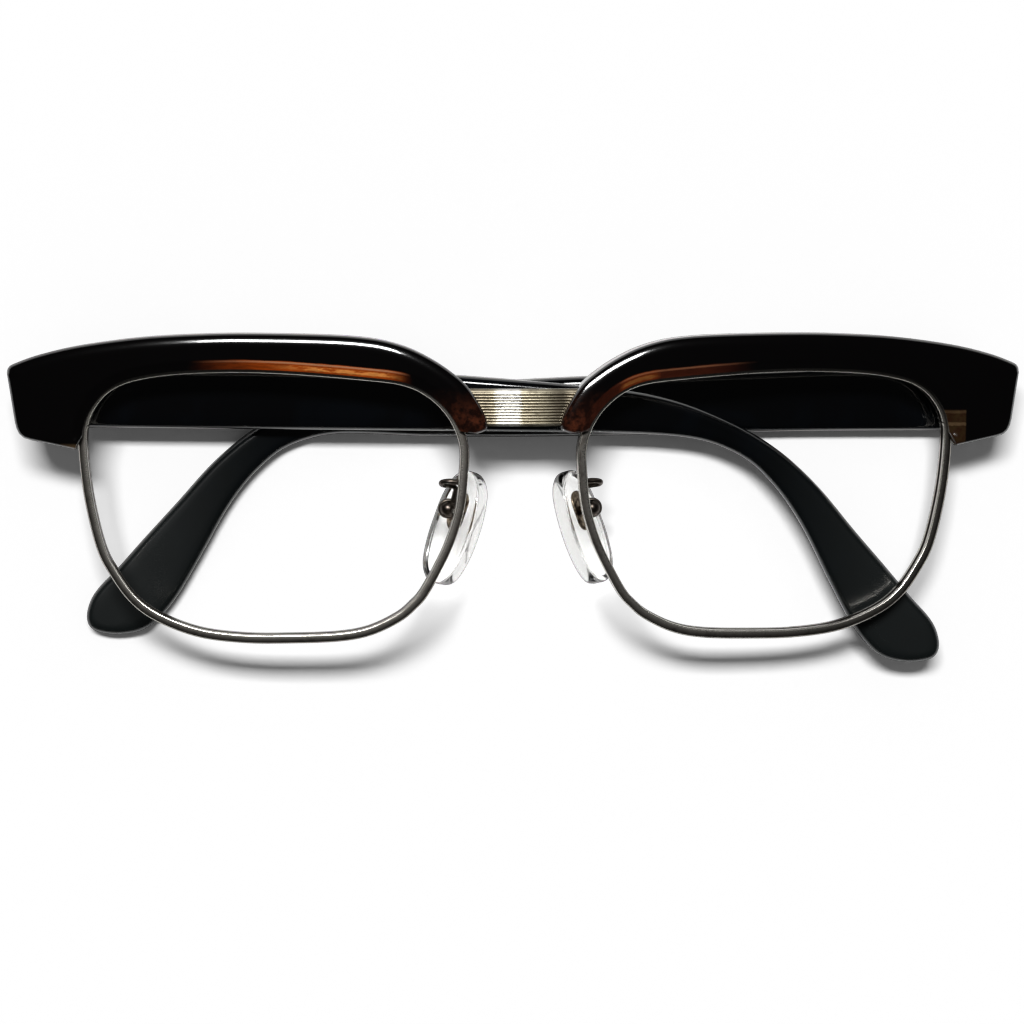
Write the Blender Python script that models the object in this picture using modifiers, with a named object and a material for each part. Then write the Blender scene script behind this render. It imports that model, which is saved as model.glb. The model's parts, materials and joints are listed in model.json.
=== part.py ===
# Browline eyeglass frame, folded. Metres, +Z up, the front faces -Y, left is -X.
import math

import bmesh
import bpy
from mathutils import Matrix, Vector

# Eye shape and face form
EYE_WIDTH = 0.0512
EYE_HEIGHT = 0.0362
BRIDGE_WIDTH = 0.0174
FACE_RADIUS = 0.450

# Metal rims
RIM_WIDTH = 0.0012
RIM_DEPTH = 0.0024
RIM_SETBACK = 0.0018
RIM_GROOVE = 0.0004
RIM_GROOVE_DEPTH = 0.0009
RIM_SPLIT_GAP = 0.0004
RIM_SPLIT_SHARE = 0.797

# Plastic brows with their end pieces
BROW_DEPTH = 0.0045
BROW_LIP = 0.0015
BROW_RISE = 0.0054
BROW_EDGE = 0.0007
BROW_STRIP = 0.0045
END_REACH = 0.0107
END_DROP = 0.0085
END_CORNER = 0.0017
END_SLANT = 0.0020
END_ROUND = 0.0006

# Bridge plate
BRIDGE_THICKNESS = 0.0014
BRIDGE_HEIGHT = 0.0051
BRIDGE_BASE_SHARE = 0.797
BRIDGE_RIDGE_PITCH = 0.00041
BRIDGE_RIDGE_DEPTH = 0.00016
BRIDGE_MARGIN = 0.0004

# Closing blocks and their screws
BLOCK_WIDTH = 0.0030
BLOCK_DEPTH = 0.0015
BLOCK_HEIGHT = 0.0023
BLOCK_ROOF = 0.0006
CLOSING_SHAFT_RADIUS = 0.00045
CLOSING_HEAD_RADIUS = 0.0008
CLOSING_HEAD_HEIGHT = 0.0006
SLOT_WIDTH = 0.00025

# Tabs that carry the brows, and their screws
TAB_WIDTH = 0.0026
TAB_THICKNESS = 0.0006
TAB_RISE = 0.0030
TAB_INNER_SHARE = 0.17
TAB_OUTER_SHARE = 0.86
TAB_SHAFT_RADIUS = 0.00045
TAB_SHAFT_LENGTH = 0.0022
TAB_HEAD_RADIUS = 0.0008
TAB_HEAD_HEIGHT = 0.0005

# Hinges
HINGE_INSET = 0.0071
HINGE_DROP = 0.0035
HINGE_OFFSET = 0.0016
HINGE_RADIUS = 0.0013
HINGE_PIN_RADIUS = 0.00055
HINGE_PIN_CLEARANCE = 0.00007
KNUCKLE_HEIGHT = 0.0010
KNUCKLE_GAP = 0.0001
KNUCKLE_ARM_SHARE = 0.8
LEAF_THICKNESS = 0.0009
FRONT_LEAF_REACH = 0.0046
TEMPLE_LEAF_REACH = 0.0055
HINGE_HEAD_RADIUS = 0.0010
HINGE_HEAD_HEIGHT = 0.0005

# Temples
TEMPLE_REACH = 0.1255
TEMPLE_FALL = 0.0409
TEMPLE_TOP_SHARE = 0.886
TEMPLE_THICKNESS = 0.0040
TEMPLE_TAPER = 0.0010
TEMPLE_TAPER_SHARE = 0.6
TEMPLE_EDGE = 0.0007
TEMPLE_BUTT_GAP = 0.0003
LEFT_TILT = 0.8
RIGHT_TILT = -0.8
LEFT_FOLD = 92.0
RIGHT_FOLD = 88.6
CORE_RADIUS = 0.0006
CORE_WALL = 0.0009
CORE_CLEARANCE = 0.0003

# Nose pads and their arms
PAD_LENGTH = 0.0155
PAD_WIDTH = 0.0076
PAD_THICKNESS = 0.0024
PAD_EDGE = 0.0009
PAD_SPREAD = 0.0094
PAD_SETBACK = 0.0092
PAD_DROP = 0.0217
PAD_FLARE = 30.0
PAD_SPLAY = 19.0
PAD_CLIMB = 0.0014
ARM_RADIUS = 0.0005
ARM_LOOP_RISE = 0.0044
ARM_LOOP_BACK = 0.0034
BOX_RADIUS = 0.0014
BOX_SLOT = 0.0011
INSERT_WIDTH = 0.0024
INSERT_LENGTH = 0.0052
INSERT_THICKNESS = 0.0006
INSERT_TAB = 0.0006
INSERT_TAB_WIDTH = 0.0013
PAD_PIN_RADIUS = 0.00028
PAD_PIN_CLEARANCE = 0.00008
PAD_PIN_HEAD_RADIUS = 0.0006
PAD_PIN_HEAD_HEIGHT = 0.0004

# Fits that hold everywhere
SEAT_GAP = 0.0003
OVERRUN = 0.0020
WELD = 0.00001

# Counts
SPAN_STEPS = 2
ROUND_SIDES = 20
SCREW_SIDES = 12
RIDGE_COUNT = 10

# The eye outline over the top to the nose side and back below, as shares of eye width and height
EYE_SHARES = (
    (1.000, 0.760), (0.994, 0.812), (0.979, 0.860), (0.948, 0.914), (0.906, 0.951), (0.850, 0.974),
    (0.779, 0.989), (0.696, 0.997), (0.586, 1.000), (0.475, 0.995), (0.370, 0.985), (0.272, 0.973),
    (0.180, 0.959), (0.126, 0.938), (0.084, 0.904), (0.050, 0.860), (0.025, 0.811), (0.008, 0.756),
    (0.000, 0.698), (0.002, 0.625), (0.010, 0.507), (0.025, 0.419), (0.051, 0.321), (0.104, 0.178),
    (0.137, 0.122), (0.176, 0.077), (0.248, 0.029), (0.330, 0.007), (0.459, 0.000), (0.580, 0.001),
    (0.701, 0.022), (0.806, 0.077), (0.873, 0.145), (0.925, 0.247), (0.957, 0.342), (0.984, 0.507),
    (0.997, 0.650),
)

# The brow's upper edge, from its outer corner to the nose, as shares of the half front and of the brow's top
BROW_TOP_SHARES = (
    (1.000, 0.874), (0.997, 0.889), (0.985, 0.902), (0.935, 0.931), (0.855, 0.961), (0.736, 0.987),
    (0.617, 0.998), (0.519, 1.000), (0.393, 0.996), (0.320, 0.989), (0.268, 0.976), (0.218, 0.950),
    (0.172, 0.911), (0.137, 0.871), (0.113, 0.836), (0.093, 0.790), (0.078, 0.745), (0.072, 0.712),
    (0.074, 0.692), (0.090, 0.680), (0.111, 0.682),
)

# The temple's outline, upper edge, tip and lower edge, as shares of its reach and of its full height
TEMPLE_SHARES = (
    (0.000, 1.000), (0.120, 1.000), (0.237, 0.995), (0.345, 0.988), (0.434, 0.978), (0.505, 0.965),
    (0.568, 0.952), (0.623, 0.938), (0.663, 0.923), (0.700, 0.898), (0.735, 0.862), (0.770, 0.816),
    (0.800, 0.764), (0.829, 0.698), (0.862, 0.600), (0.899, 0.465), (0.935, 0.339), (0.965, 0.232),
    (0.986, 0.163), (0.996, 0.114), (1.000, 0.059), (0.995, 0.020), (0.980, 0.003), (0.960, 0.000),
    (0.938, 0.015), (0.920, 0.055), (0.898, 0.144), (0.872, 0.292), (0.846, 0.450), (0.825, 0.554),
    (0.804, 0.634), (0.781, 0.700), (0.752, 0.748), (0.720, 0.778), (0.678, 0.792), (0.615, 0.797),
    (0.500, 0.798), (0.350, 0.800), (0.180, 0.802), (0.000, 0.803),
)

# The core wire's line inside the temple, in the same shares
CORE_SHARES = (
    (0.000, 0.900), (0.200, 0.899), (0.400, 0.892), (0.540, 0.880), (0.640, 0.866), (0.700, 0.844),
    (0.750, 0.806), (0.795, 0.738), (0.830, 0.643), (0.865, 0.502), (0.895, 0.370), (0.918, 0.285),
)

# The pad's outline from its top, round the nose side, as shares of its width and length
PAD_SHARES = (
    (0.10, 0.50), (0.34, 0.42), (0.47, 0.25), (0.50, 0.05), (0.49, -0.18), (0.40, -0.38), (0.20, -0.49),
    (-0.05, -0.50), (-0.28, -0.44), (-0.42, -0.27), (-0.47, -0.05), (-0.44, 0.18), (-0.34, 0.37),
    (-0.14, 0.48),
)


def face_depth(x):
    # How far the front curves back at a distance from its middle
    return x * x / (2 * FACE_RADIUS)


HALF_BRIDGE = BRIDGE_WIDTH / 2
EYE_BASE = RIM_WIDTH
EYE_TOP = EYE_BASE + EYE_HEIGHT
BROW_TOP = EYE_TOP + BROW_RISE
HALF_FRONT = HALF_BRIDGE + EYE_WIDTH + END_REACH
HINGE_X = HALF_FRONT - HINGE_INSET
SPLIT_Z = EYE_BASE + RIM_SPLIT_SHARE * EYE_HEIGHT
BRIDGE_BASE = EYE_BASE + BRIDGE_BASE_SHARE * EYE_HEIGHT
BLOCK_FRONT = face_depth(HINGE_X) + RIM_SETBACK
LAND_Y = face_depth(HINGE_X) + BROW_DEPTH
HINGE_Y = LAND_Y + HINGE_OFFSET
HINGE_Z = EYE_TOP - HINGE_DROP
LEAF_HEIGHT = 5 * KNUCKLE_HEIGHT + 4 * KNUCKLE_GAP
TEMPLE_BUTT = -HINGE_OFFSET + TEMPLE_BUTT_GAP
SIDES = (("right", 1), ("left", -1))


def clear_scene():
    for old in list(bpy.data.objects):
        bpy.data.objects.remove(old, do_unlink=True)


def new_collection(name):
    made = bpy.data.collections.new(name)
    bpy.context.scene.collection.children.link(made)
    return made


def material(name, colour, roughness, metallic, transmission=0.0):
    made = bpy.data.materials.new(name)
    made.use_nodes = True
    shader = made.node_tree.nodes["Principled BSDF"]
    shader.inputs["Base Color"].default_value = (*colour, 1.0)
    shader.inputs["Roughness"].default_value = roughness
    shader.inputs["Metallic"].default_value = metallic
    shader.inputs["Transmission Weight"].default_value = transmission
    return made


def smooth_through(points, closed, steps=SPAN_STEPS):
    # Catmull-Rom points through the given ones
    count = len(points)
    found = []
    for i in range(count if closed else count - 1):
        near = []
        for j in range(i - 1, i + 3):
            near.append(Vector(points[j % count if closed else min(max(j, 0), count - 1)]))
        a, b, c, d = near
        for step in range(steps):
            t = step / steps
            straight = (c - a) * t
            square = (2 * a - 5 * b + 4 * c - d) * t**2
            cube = (3 * b - a - 3 * c + d) * t**3
            found.append(b + (straight + square + cube) / 2)
    if not closed:
        found.append(Vector(points[-1]))
    return found


def offset_outline(points, distance):
    # A closed outline moved outwards along its normals
    centre = sum(points, Vector((0, 0))) / len(points)
    moved = []
    for i, point in enumerate(points):
        along = points[(i + 1) % len(points)] - points[i - 1]
        normal = Vector((along.y, -along.x)).normalized()
        if normal.dot(point - centre) < 0:
            normal = -normal
        moved.append(point + normal * distance)
    return moved


def mesh_object(name, mesh, home):
    made = bpy.data.objects.new(name, mesh)
    home.objects.link(made)
    return made


def helper(made):
    made.hide_render = True
    made.display_type = "WIRE"
    return made


def mesh_of_curve(curve_object):
    graph = bpy.context.evaluated_depsgraph_get()
    mesh = bpy.data.meshes.new_from_object(curve_object.evaluated_get(graph))
    data = curve_object.data
    bpy.data.objects.remove(curve_object, do_unlink=True)
    bpy.data.curves.remove(data)
    work = bmesh.new()
    work.from_mesh(mesh)
    bmesh.ops.remove_doubles(work, verts=work.verts, dist=WELD)
    bmesh.ops.recalc_face_normals(work, faces=work.faces)
    work.to_mesh(mesh)
    work.free()
    return mesh


def plate_mesh(outlines, low, high):
    # Flat outlines (the second and later ones are holes) given a thickness from low to high along local Z
    curve = bpy.data.curves.new("outline", "CURVE")
    curve.dimensions = "2D"
    curve.fill_mode = "BOTH"
    curve.extrude = (high - low) / 2
    for outline in outlines:
        spline = curve.splines.new("POLY")
        spline.points.add(len(outline) - 1)
        for point, place in zip(spline.points, outline):
            point.co = (place[0], place[1], 0, 1)
        spline.use_cyclic_u = True
    mesh = mesh_of_curve(mesh_object("outline", curve, parts))
    mesh.transform(Matrix.Translation((0, 0, (high + low) / 2)))
    return mesh


def front_plate(name, outlines, front, back, home, strip=None):
    # Local X, Y, Z become world X, Z, Y, and the plate follows the face form
    mesh = plate_mesh(outlines, front, back)
    turn = Matrix(((1, 0, 0, 0), (0, 0, 1, 0), (0, 1, 0, 0), (0, 0, 0, 1)))
    mesh.transform(turn)
    mesh.flip_normals()
    if strip:
        mesh = in_strips(mesh, strip)
    for vertex in mesh.vertices:
        vertex.co.y += face_depth(vertex.co.x)
    return mesh_object(name, in_triangles(mesh), home)


def in_strips(mesh, width):
    # A wide plate is cut into upright strips, so that it can follow the face form
    work = bmesh.new()
    work.from_mesh(mesh)
    reach = max(v.co.x for v in work.verts)
    station = min(v.co.x for v in work.verts) + width
    while station < reach:
        everything = work.verts[:] + work.edges[:] + work.faces[:]
        bmesh.ops.bisect_plane(
            work, geom=everything, dist=WELD, plane_co=(station, 0, 0), plane_no=(1, 0, 0)
        )
        station += width
    work.to_mesh(mesh)
    work.free()
    return mesh


def tube_mesh(points, radius, sides_share=2):
    curve = bpy.data.curves.new("tube", "CURVE")
    curve.dimensions = "3D"
    curve.bevel_depth = radius
    curve.bevel_resolution = sides_share
    curve.use_fill_caps = True
    spline = curve.splines.new("POLY")
    spline.points.add(len(points) - 1)
    for point, place in zip(spline.points, points):
        point.co = (*place, 1)
    return mesh_of_curve(mesh_object("tube", curve, parts))


def box_mesh(low, high):
    work = bmesh.new()
    bmesh.ops.create_cube(work, size=1)
    low, high = Vector(low), Vector(high)
    for vertex in work.verts:
        vertex.co = Vector(c + v * s for c, v, s in zip((low + high) / 2, vertex.co, high - low))
    mesh = bpy.data.meshes.new("box")
    work.to_mesh(mesh)
    work.free()
    return mesh


def box(name, low, high, home):
    return mesh_object(name, box_mesh(low, high), home)


def rod_mesh(radius, low, high, sides=ROUND_SIDES, direction=(0, 0, 1), centre=(0, 0, 0)):
    # A cylinder along a direction, from low to high measured from its centre point
    work = bmesh.new()
    bmesh.ops.create_cone(
        work, cap_ends=True, segments=sides, radius1=radius, radius2=radius, depth=high - low
    )
    mesh = bpy.data.meshes.new("rod")
    work.to_mesh(mesh)
    work.free()
    mesh.transform(Matrix.Translation((0, 0, (high + low) / 2)))
    turn = Vector(direction).to_track_quat("Z", "Y").to_matrix().to_4x4()
    mesh.transform(Matrix.Translation(centre) @ turn)
    return mesh


def rod(name, home, *where, **how):
    return mesh_object(name, rod_mesh(*where, **how), home)


def with_booleans(made, others, operation):
    for other in others:
        cut = made.modifiers.new(operation.title(), "BOOLEAN")
        cut.operation = operation
        cut.solver = "EXACT"
        cut.object = other
    return made


def settled(made):
    # Modifiers become the mesh, so that the other side can be its mirror image
    graph = bpy.context.evaluated_depsgraph_get()
    mesh = bpy.data.meshes.new_from_object(made.evaluated_get(graph))
    made.modifiers.clear()
    made.data = in_triangles(mesh)
    return made


def in_triangles(mesh):
    # Bent faces are split, so that a cut meets flat ones only
    work = bmesh.new()
    work.from_mesh(mesh)
    bmesh.ops.triangulate(work, faces=work.faces)
    work.to_mesh(mesh)
    work.free()
    return mesh


def carved(made, cutters):
    return settled(with_booleans(made, [helper(c) for c in cutters], "DIFFERENCE"))


def joined(made, others):
    settled(with_booleans(made, others, "UNION"))
    for other in others:
        bpy.data.objects.remove(other, do_unlink=True)
    return made


def bevelled(made, width, segments=2, angle=40):
    bevel = made.modifiers.new("Edge", "BEVEL")
    bevel.width = width
    bevel.segments = segments
    bevel.limit_method = "ANGLE"
    bevel.angle_limit = math.radians(angle)
    bevel.use_clamp_overlap = True
    return settled(made)


def finished(made, finish, angle=35):
    made.data.materials.clear()
    made.data.materials.append(finish)
    made.data.shade_smooth()
    made.data.set_sharp_from_angle(angle=math.radians(angle))
    return made


def mirror_copy(made, name):
    mesh = made.data.copy()
    mesh.transform(Matrix.Scale(-1, 4, (1, 0, 0)))
    mesh.flip_normals()
    return mesh_object(name, mesh, parts)


def on_both_sides(made, finish, carriers):
    # The right piece and its mirror image, each hung on its own side's empty
    finished(made, finish)
    stem = made.name
    made.name = stem + "_right"
    pair = {"right": made, "left": mirror_copy(made, stem + "_left")}
    for side, piece in pair.items():
        piece.parent = carriers[side]
    return pair


def eye_outline(distance=0.0):
    points = []
    for across, up in EYE_SHARES:
        points.append((HALF_BRIDGE + across * EYE_WIDTH, EYE_BASE + up * EYE_HEIGHT))
    return offset_outline(smooth_through(points, True), distance)


def read_between(pairs, wanted):
    # The second value where the first one is the wanted one, on straight lines between the pairs
    pairs = sorted(pairs)
    for (a, first), (b, second) in zip(pairs, pairs[1:]):
        if a <= wanted <= b:
            return first + (second - first) * (wanted - a) / (b - a)
    return pairs[0][1] if wanted < pairs[0][0] else pairs[-1][1]


def eye_top_at(x):
    # The height of the rim's upper edge
    upper = [p for p in eye_outline(RIM_WIDTH) if p.y > EYE_BASE + EYE_HEIGHT / 2]
    return read_between([(p.x, p.y) for p in upper], x)


def nose_side_x(z, distance):
    # The nose side of the outline at a height
    limit = HALF_BRIDGE + EYE_WIDTH / 4
    side = [p for p in eye_outline(distance) if p.x < limit and p.y > EYE_HEIGHT / 2]
    return read_between([(p.y, p.x) for p in side], z)


def temporal_x(z, distance):
    # The temporal side of the outline at a height
    limit = HALF_BRIDGE + EYE_WIDTH * 3 / 4
    side = [p for p in eye_outline(distance) if p.x > limit and p.y > EYE_HEIGHT / 2]
    return read_between([(p.y, p.x) for p in side], z)


def tab_spots():
    # Where the tabs' screws enter the back of the brow
    spots = []
    for share in (TAB_INNER_SHARE, TAB_OUTER_SHARE):
        x = HALF_BRIDGE + share * EYE_WIDTH
        z = eye_top_at(x) + TAB_WIDTH / 2
        spots.append((x, face_depth(x) + BROW_DEPTH, z))
    return spots


def make_rim(carriers, steel):
    ring = [eye_outline(RIM_WIDTH), eye_outline()]
    rim = front_plate("rim", ring, RIM_SETBACK, RIM_SETBACK + RIM_DEPTH, parts)
    middle = RIM_SETBACK + RIM_DEPTH / 2
    groove = front_plate(
        "rim_groove_cutter",
        [eye_outline(RIM_GROOVE), eye_outline(-OVERRUN)],
        middle - RIM_GROOVE_DEPTH / 2,
        middle + RIM_GROOVE_DEPTH / 2,
        cutters,
    )
    split_x = temporal_x(SPLIT_Z, 0)
    back = RIM_SETBACK + RIM_DEPTH + face_depth(split_x)
    gap = box(
        "rim_split_cutter",
        (split_x - OVERRUN, 0, SPLIT_Z - RIM_SPLIT_GAP / 2),
        (split_x + RIM_WIDTH + OVERRUN, back + OVERRUN, SPLIT_Z + RIM_SPLIT_GAP / 2),
        cutters,
    )
    on_both_sides(carved(rim, [groove, gap]), steel, carriers)


def brow_outline():
    points = [(x * HALF_FRONT, z * BROW_TOP) for x, z in BROW_TOP_SHARES]
    top = smooth_through(points, False)
    nose_low = top[-1]
    eye = eye_outline()
    first = 0
    for i, point in enumerate(eye):
        if point.x > HALF_BRIDGE + EYE_WIDTH / 2 and point.y < SPLIT_Z:
            continue
        first = i
        break
    under = []
    for point in eye[first:]:
        if point.y < nose_low.y + SEAT_GAP:
            break
        under.append(point)
    under.reverse()
    end_low = EYE_TOP - END_DROP
    corner = Vector((HALF_FRONT - END_CORNER, end_low))
    heel = Vector((temporal_x(end_low - END_SLANT, RIM_WIDTH), end_low - END_SLANT))
    return top + under + [heel, corner, corner + Vector((END_ROUND, END_ROUND))]


def make_brow(carriers, plastic):
    brow = front_plate("brow", [brow_outline()], 0, BROW_DEPTH, parts, BROW_STRIP)
    bevelled(brow, BROW_EDGE)
    channel = front_plate(
        "rim_channel_cutter",
        [eye_outline(RIM_WIDTH + SEAT_GAP), eye_outline(-OVERRUN)],
        BROW_LIP,
        BROW_DEPTH + OVERRUN,
        cutters,
        BROW_STRIP,
    )
    land = box(
        "hinge_land_cutter",
        (HINGE_X - FRONT_LEAF_REACH, LAND_Y, 0),
        (HALF_FRONT + OVERRUN, LAND_Y + BROW_DEPTH, BROW_TOP + OVERRUN),
        cutters,
    )
    top = BRIDGE_BASE + BRIDGE_HEIGHT
    reach = max(nose_side_x(z, RIM_WIDTH) for z in (BRIDGE_BASE, (BRIDGE_BASE + top) / 2, top))
    slot = box(
        "bridge_slot_cutter",
        (0, BROW_LIP, BRIDGE_BASE - SEAT_GAP),
        (reach, BROW_DEPTH + OVERRUN, top + SEAT_GAP),
        cutters,
    )
    inner = temporal_x(SPLIT_Z, RIM_WIDTH)
    front = BLOCK_FRONT - SEAT_GAP
    pocket = box(
        "block_pocket_cutter",
        (inner - SEAT_GAP, front, 0),
        (inner + BLOCK_WIDTH + SEAT_GAP * 2, LAND_Y + OVERRUN, SPLIT_Z + BLOCK_HEIGHT + SEAT_GAP * 2),
        cutters,
    )
    leaf = box(
        "front_leaf_cutter",
        (HINGE_X - FRONT_LEAF_REACH / 2 - SEAT_GAP, LAND_Y - LEAF_THICKNESS - SEAT_GAP,
         HINGE_Z - LEAF_HEIGHT / 2 - SEAT_GAP),
        (HINGE_X + FRONT_LEAF_REACH / 2 + SEAT_GAP, LAND_Y + OVERRUN,
         HINGE_Z + LEAF_HEIGHT / 2 + SEAT_GAP),
        cutters,
    )
    holes = []
    for spot in tab_spots():
        holes.append(
            rod(
                "tab_screw_cutter", cutters, TAB_SHAFT_RADIUS + SEAT_GAP / 3,
                -TAB_SHAFT_LENGTH - SEAT_GAP, OVERRUN, SCREW_SIDES, direction=(0, 1, 0), centre=spot,
            )
        )
    on_both_sides(carved(brow, [channel, land, slot, pocket, leaf, *holes]), plastic, carriers)


def make_bridge(carriers, silver):
    low, high = BRIDGE_BASE, BRIDGE_BASE + BRIDGE_HEIGHT
    edge = RIM_WIDTH + SEAT_GAP
    corners = [
        (nose_side_x(low, edge), low), (nose_side_x((low + high) / 2, edge), (low + high) / 2),
        (nose_side_x(high, edge), high),
    ]
    outline = corners + [(-x, z) for x, z in reversed(corners)]
    front = RIM_SETBACK
    # The grooved section runs across the front, and the plate's outline trims it
    section = [(front + BRIDGE_THICKNESS, low - OVERRUN), (front + BRIDGE_THICKNESS, high + OVERRUN)]
    section += [(front, high + OVERRUN), (front, high - BRIDGE_MARGIN)]
    first = high - BRIDGE_MARGIN
    for ridge in range(RIDGE_COUNT):
        section.append((front + BRIDGE_RIDGE_DEPTH, first - (ridge + 0.5) * BRIDGE_RIDGE_PITCH))
        section.append((front, first - (ridge + 1) * BRIDGE_RIDGE_PITCH))
    section.append((front, low - OVERRUN))
    reach = corners[-1][0] + OVERRUN
    mesh = plate_mesh([section], -reach, reach)
    mesh.transform(Matrix(((0, 0, 1, 0), (1, 0, 0, 0), (0, 1, 0, 0), (0, 0, 0, 1))))
    bridge = mesh_object("bridge", mesh, parts)
    trim = helper(front_plate("bridge_trim", [outline], -OVERRUN, BROW_DEPTH, cutters))
    settled(with_booleans(bridge, [trim], "INTERSECT"))
    finished(bridge, silver).parent = carriers["right"].parent


def make_blocks(carriers, steel, screw_steel):
    inner = temporal_x(SPLIT_Z, RIM_WIDTH) + SEAT_GAP
    centre = (inner + BLOCK_WIDTH / 2, BLOCK_FRONT + BLOCK_DEPTH / 2, SPLIT_Z)
    half = RIM_SPLIT_GAP / 2
    for name, low, high in (
        ("rim_block_upper", half, BLOCK_HEIGHT),
        ("rim_block_lower", -BLOCK_HEIGHT, -half),
    ):
        block = box(
            name,
            (inner, BLOCK_FRONT, SPLIT_Z + low),
            (inner + BLOCK_WIDTH, BLOCK_FRONT + BLOCK_DEPTH, SPLIT_Z + high),
            parts,
        )
        bore = rod(
            name + "_bore", cutters, CLOSING_SHAFT_RADIUS + HINGE_PIN_CLEARANCE,
            -BLOCK_HEIGHT - OVERRUN, BLOCK_HEIGHT - BLOCK_ROOF, SCREW_SIDES, centre=centre,
        )
        on_both_sides(carved(block, [bore]), steel, carriers)
    bottom = -BLOCK_HEIGHT - KNUCKLE_GAP
    screw = rod(
        "closing_screw", parts, CLOSING_SHAFT_RADIUS, bottom - CLOSING_HEAD_HEIGHT / 2,
        BLOCK_HEIGHT - BLOCK_ROOF - KNUCKLE_GAP, SCREW_SIDES, centre=centre,
    )
    head = rod(
        "closing_head", parts, CLOSING_HEAD_RADIUS, bottom - CLOSING_HEAD_HEIGHT, bottom,
        ROUND_SIDES, centre=centre,
    )
    joined(screw, [head])
    low = centre[2] + bottom - CLOSING_HEAD_HEIGHT
    on_both_sides(
        slotted(screw, (centre[0], centre[1], low), (0, 0, 1), CLOSING_HEAD_RADIUS, CLOSING_HEAD_HEIGHT),
        screw_steel,
        carriers,
    )


def slotted(screw, face, direction, radius, height):
    # A driver's slot across a screw head, whose face looks away from the given direction
    half = SLOT_WIDTH / 2
    mesh = box_mesh((-radius - OVERRUN, -half, -OVERRUN), (radius + OVERRUN, half, height / 2))
    turn = Vector(direction).to_track_quat("Z", "Y").to_matrix().to_4x4()
    mesh.transform(Matrix.Translation(face) @ turn)
    return carved(screw, [mesh_object(screw.name + "_slot", mesh, cutters)])


def make_tabs(carriers, steel, screw_steel):
    for name, spot in zip(("inner", "outer"), tab_spots()):
        x, y, z = spot
        front = y + SEAT_GAP
        low = (x - TAB_WIDTH / 2, front, z - TAB_RISE)
        high = (x + TAB_WIDTH / 2, front + TAB_THICKNESS, z + TAB_WIDTH / 2)
        tab = bevelled(box("brow_tab_" + name, low, high, parts), TAB_THICKNESS / 4, 1)
        bore = rod(
            "tab_bore", cutters, TAB_SHAFT_RADIUS + SEAT_GAP / 3, -OVERRUN, OVERRUN * 2,
            SCREW_SIDES, direction=(0, 1, 0), centre=spot,
        )
        on_both_sides(carved(tab, [bore]), steel, carriers)
        seat = SEAT_GAP + TAB_THICKNESS + KNUCKLE_GAP
        screw = rod(
            "brow_screw_" + name, parts, TAB_SHAFT_RADIUS, -TAB_SHAFT_LENGTH, seat + TAB_HEAD_HEIGHT / 2,
            SCREW_SIDES, direction=(0, 1, 0), centre=spot,
        )
        head = rod(
            "tab_head", parts, TAB_HEAD_RADIUS, seat, seat + TAB_HEAD_HEIGHT,
            ROUND_SIDES, direction=(0, 1, 0), centre=spot,
        )
        joined(screw, [head])
        face = (x, y + seat + TAB_HEAD_HEIGHT, z)
        on_both_sides(
            slotted(screw, face, (0, -1, 0), TAB_HEAD_RADIUS, TAB_HEAD_HEIGHT), screw_steel, carriers
        )


def knuckle_levels():
    # The five knuckles' lowest and highest points, from the middle of the hinge
    pitch = KNUCKLE_HEIGHT + KNUCKLE_GAP
    return [((i - 2) * pitch - KNUCKLE_HEIGHT / 2, (i - 2) * pitch + KNUCKLE_HEIGHT / 2) for i in range(5)]


def make_leaf(name, low, high, arm_low, arm_high, picks):
    # A leaf plate with its knuckles; the hinge axis is local Z through the origin
    leaf = box(name, low, high, parts)
    extra = []
    levels = knuckle_levels()
    for pick in picks:
        bottom, top = levels[pick]
        extra.append(rod("knuckle", parts, HINGE_RADIUS, bottom, top))
        extra.append(box("arm", (*arm_low, bottom), (*arm_high, top), parts))
    joined(leaf, extra)
    reach = levels[-1][1] + OVERRUN
    bore = rod(name + "_bore", cutters, HINGE_PIN_RADIUS + HINGE_PIN_CLEARANCE, -reach, reach)
    return carved(leaf, [bore])


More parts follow.
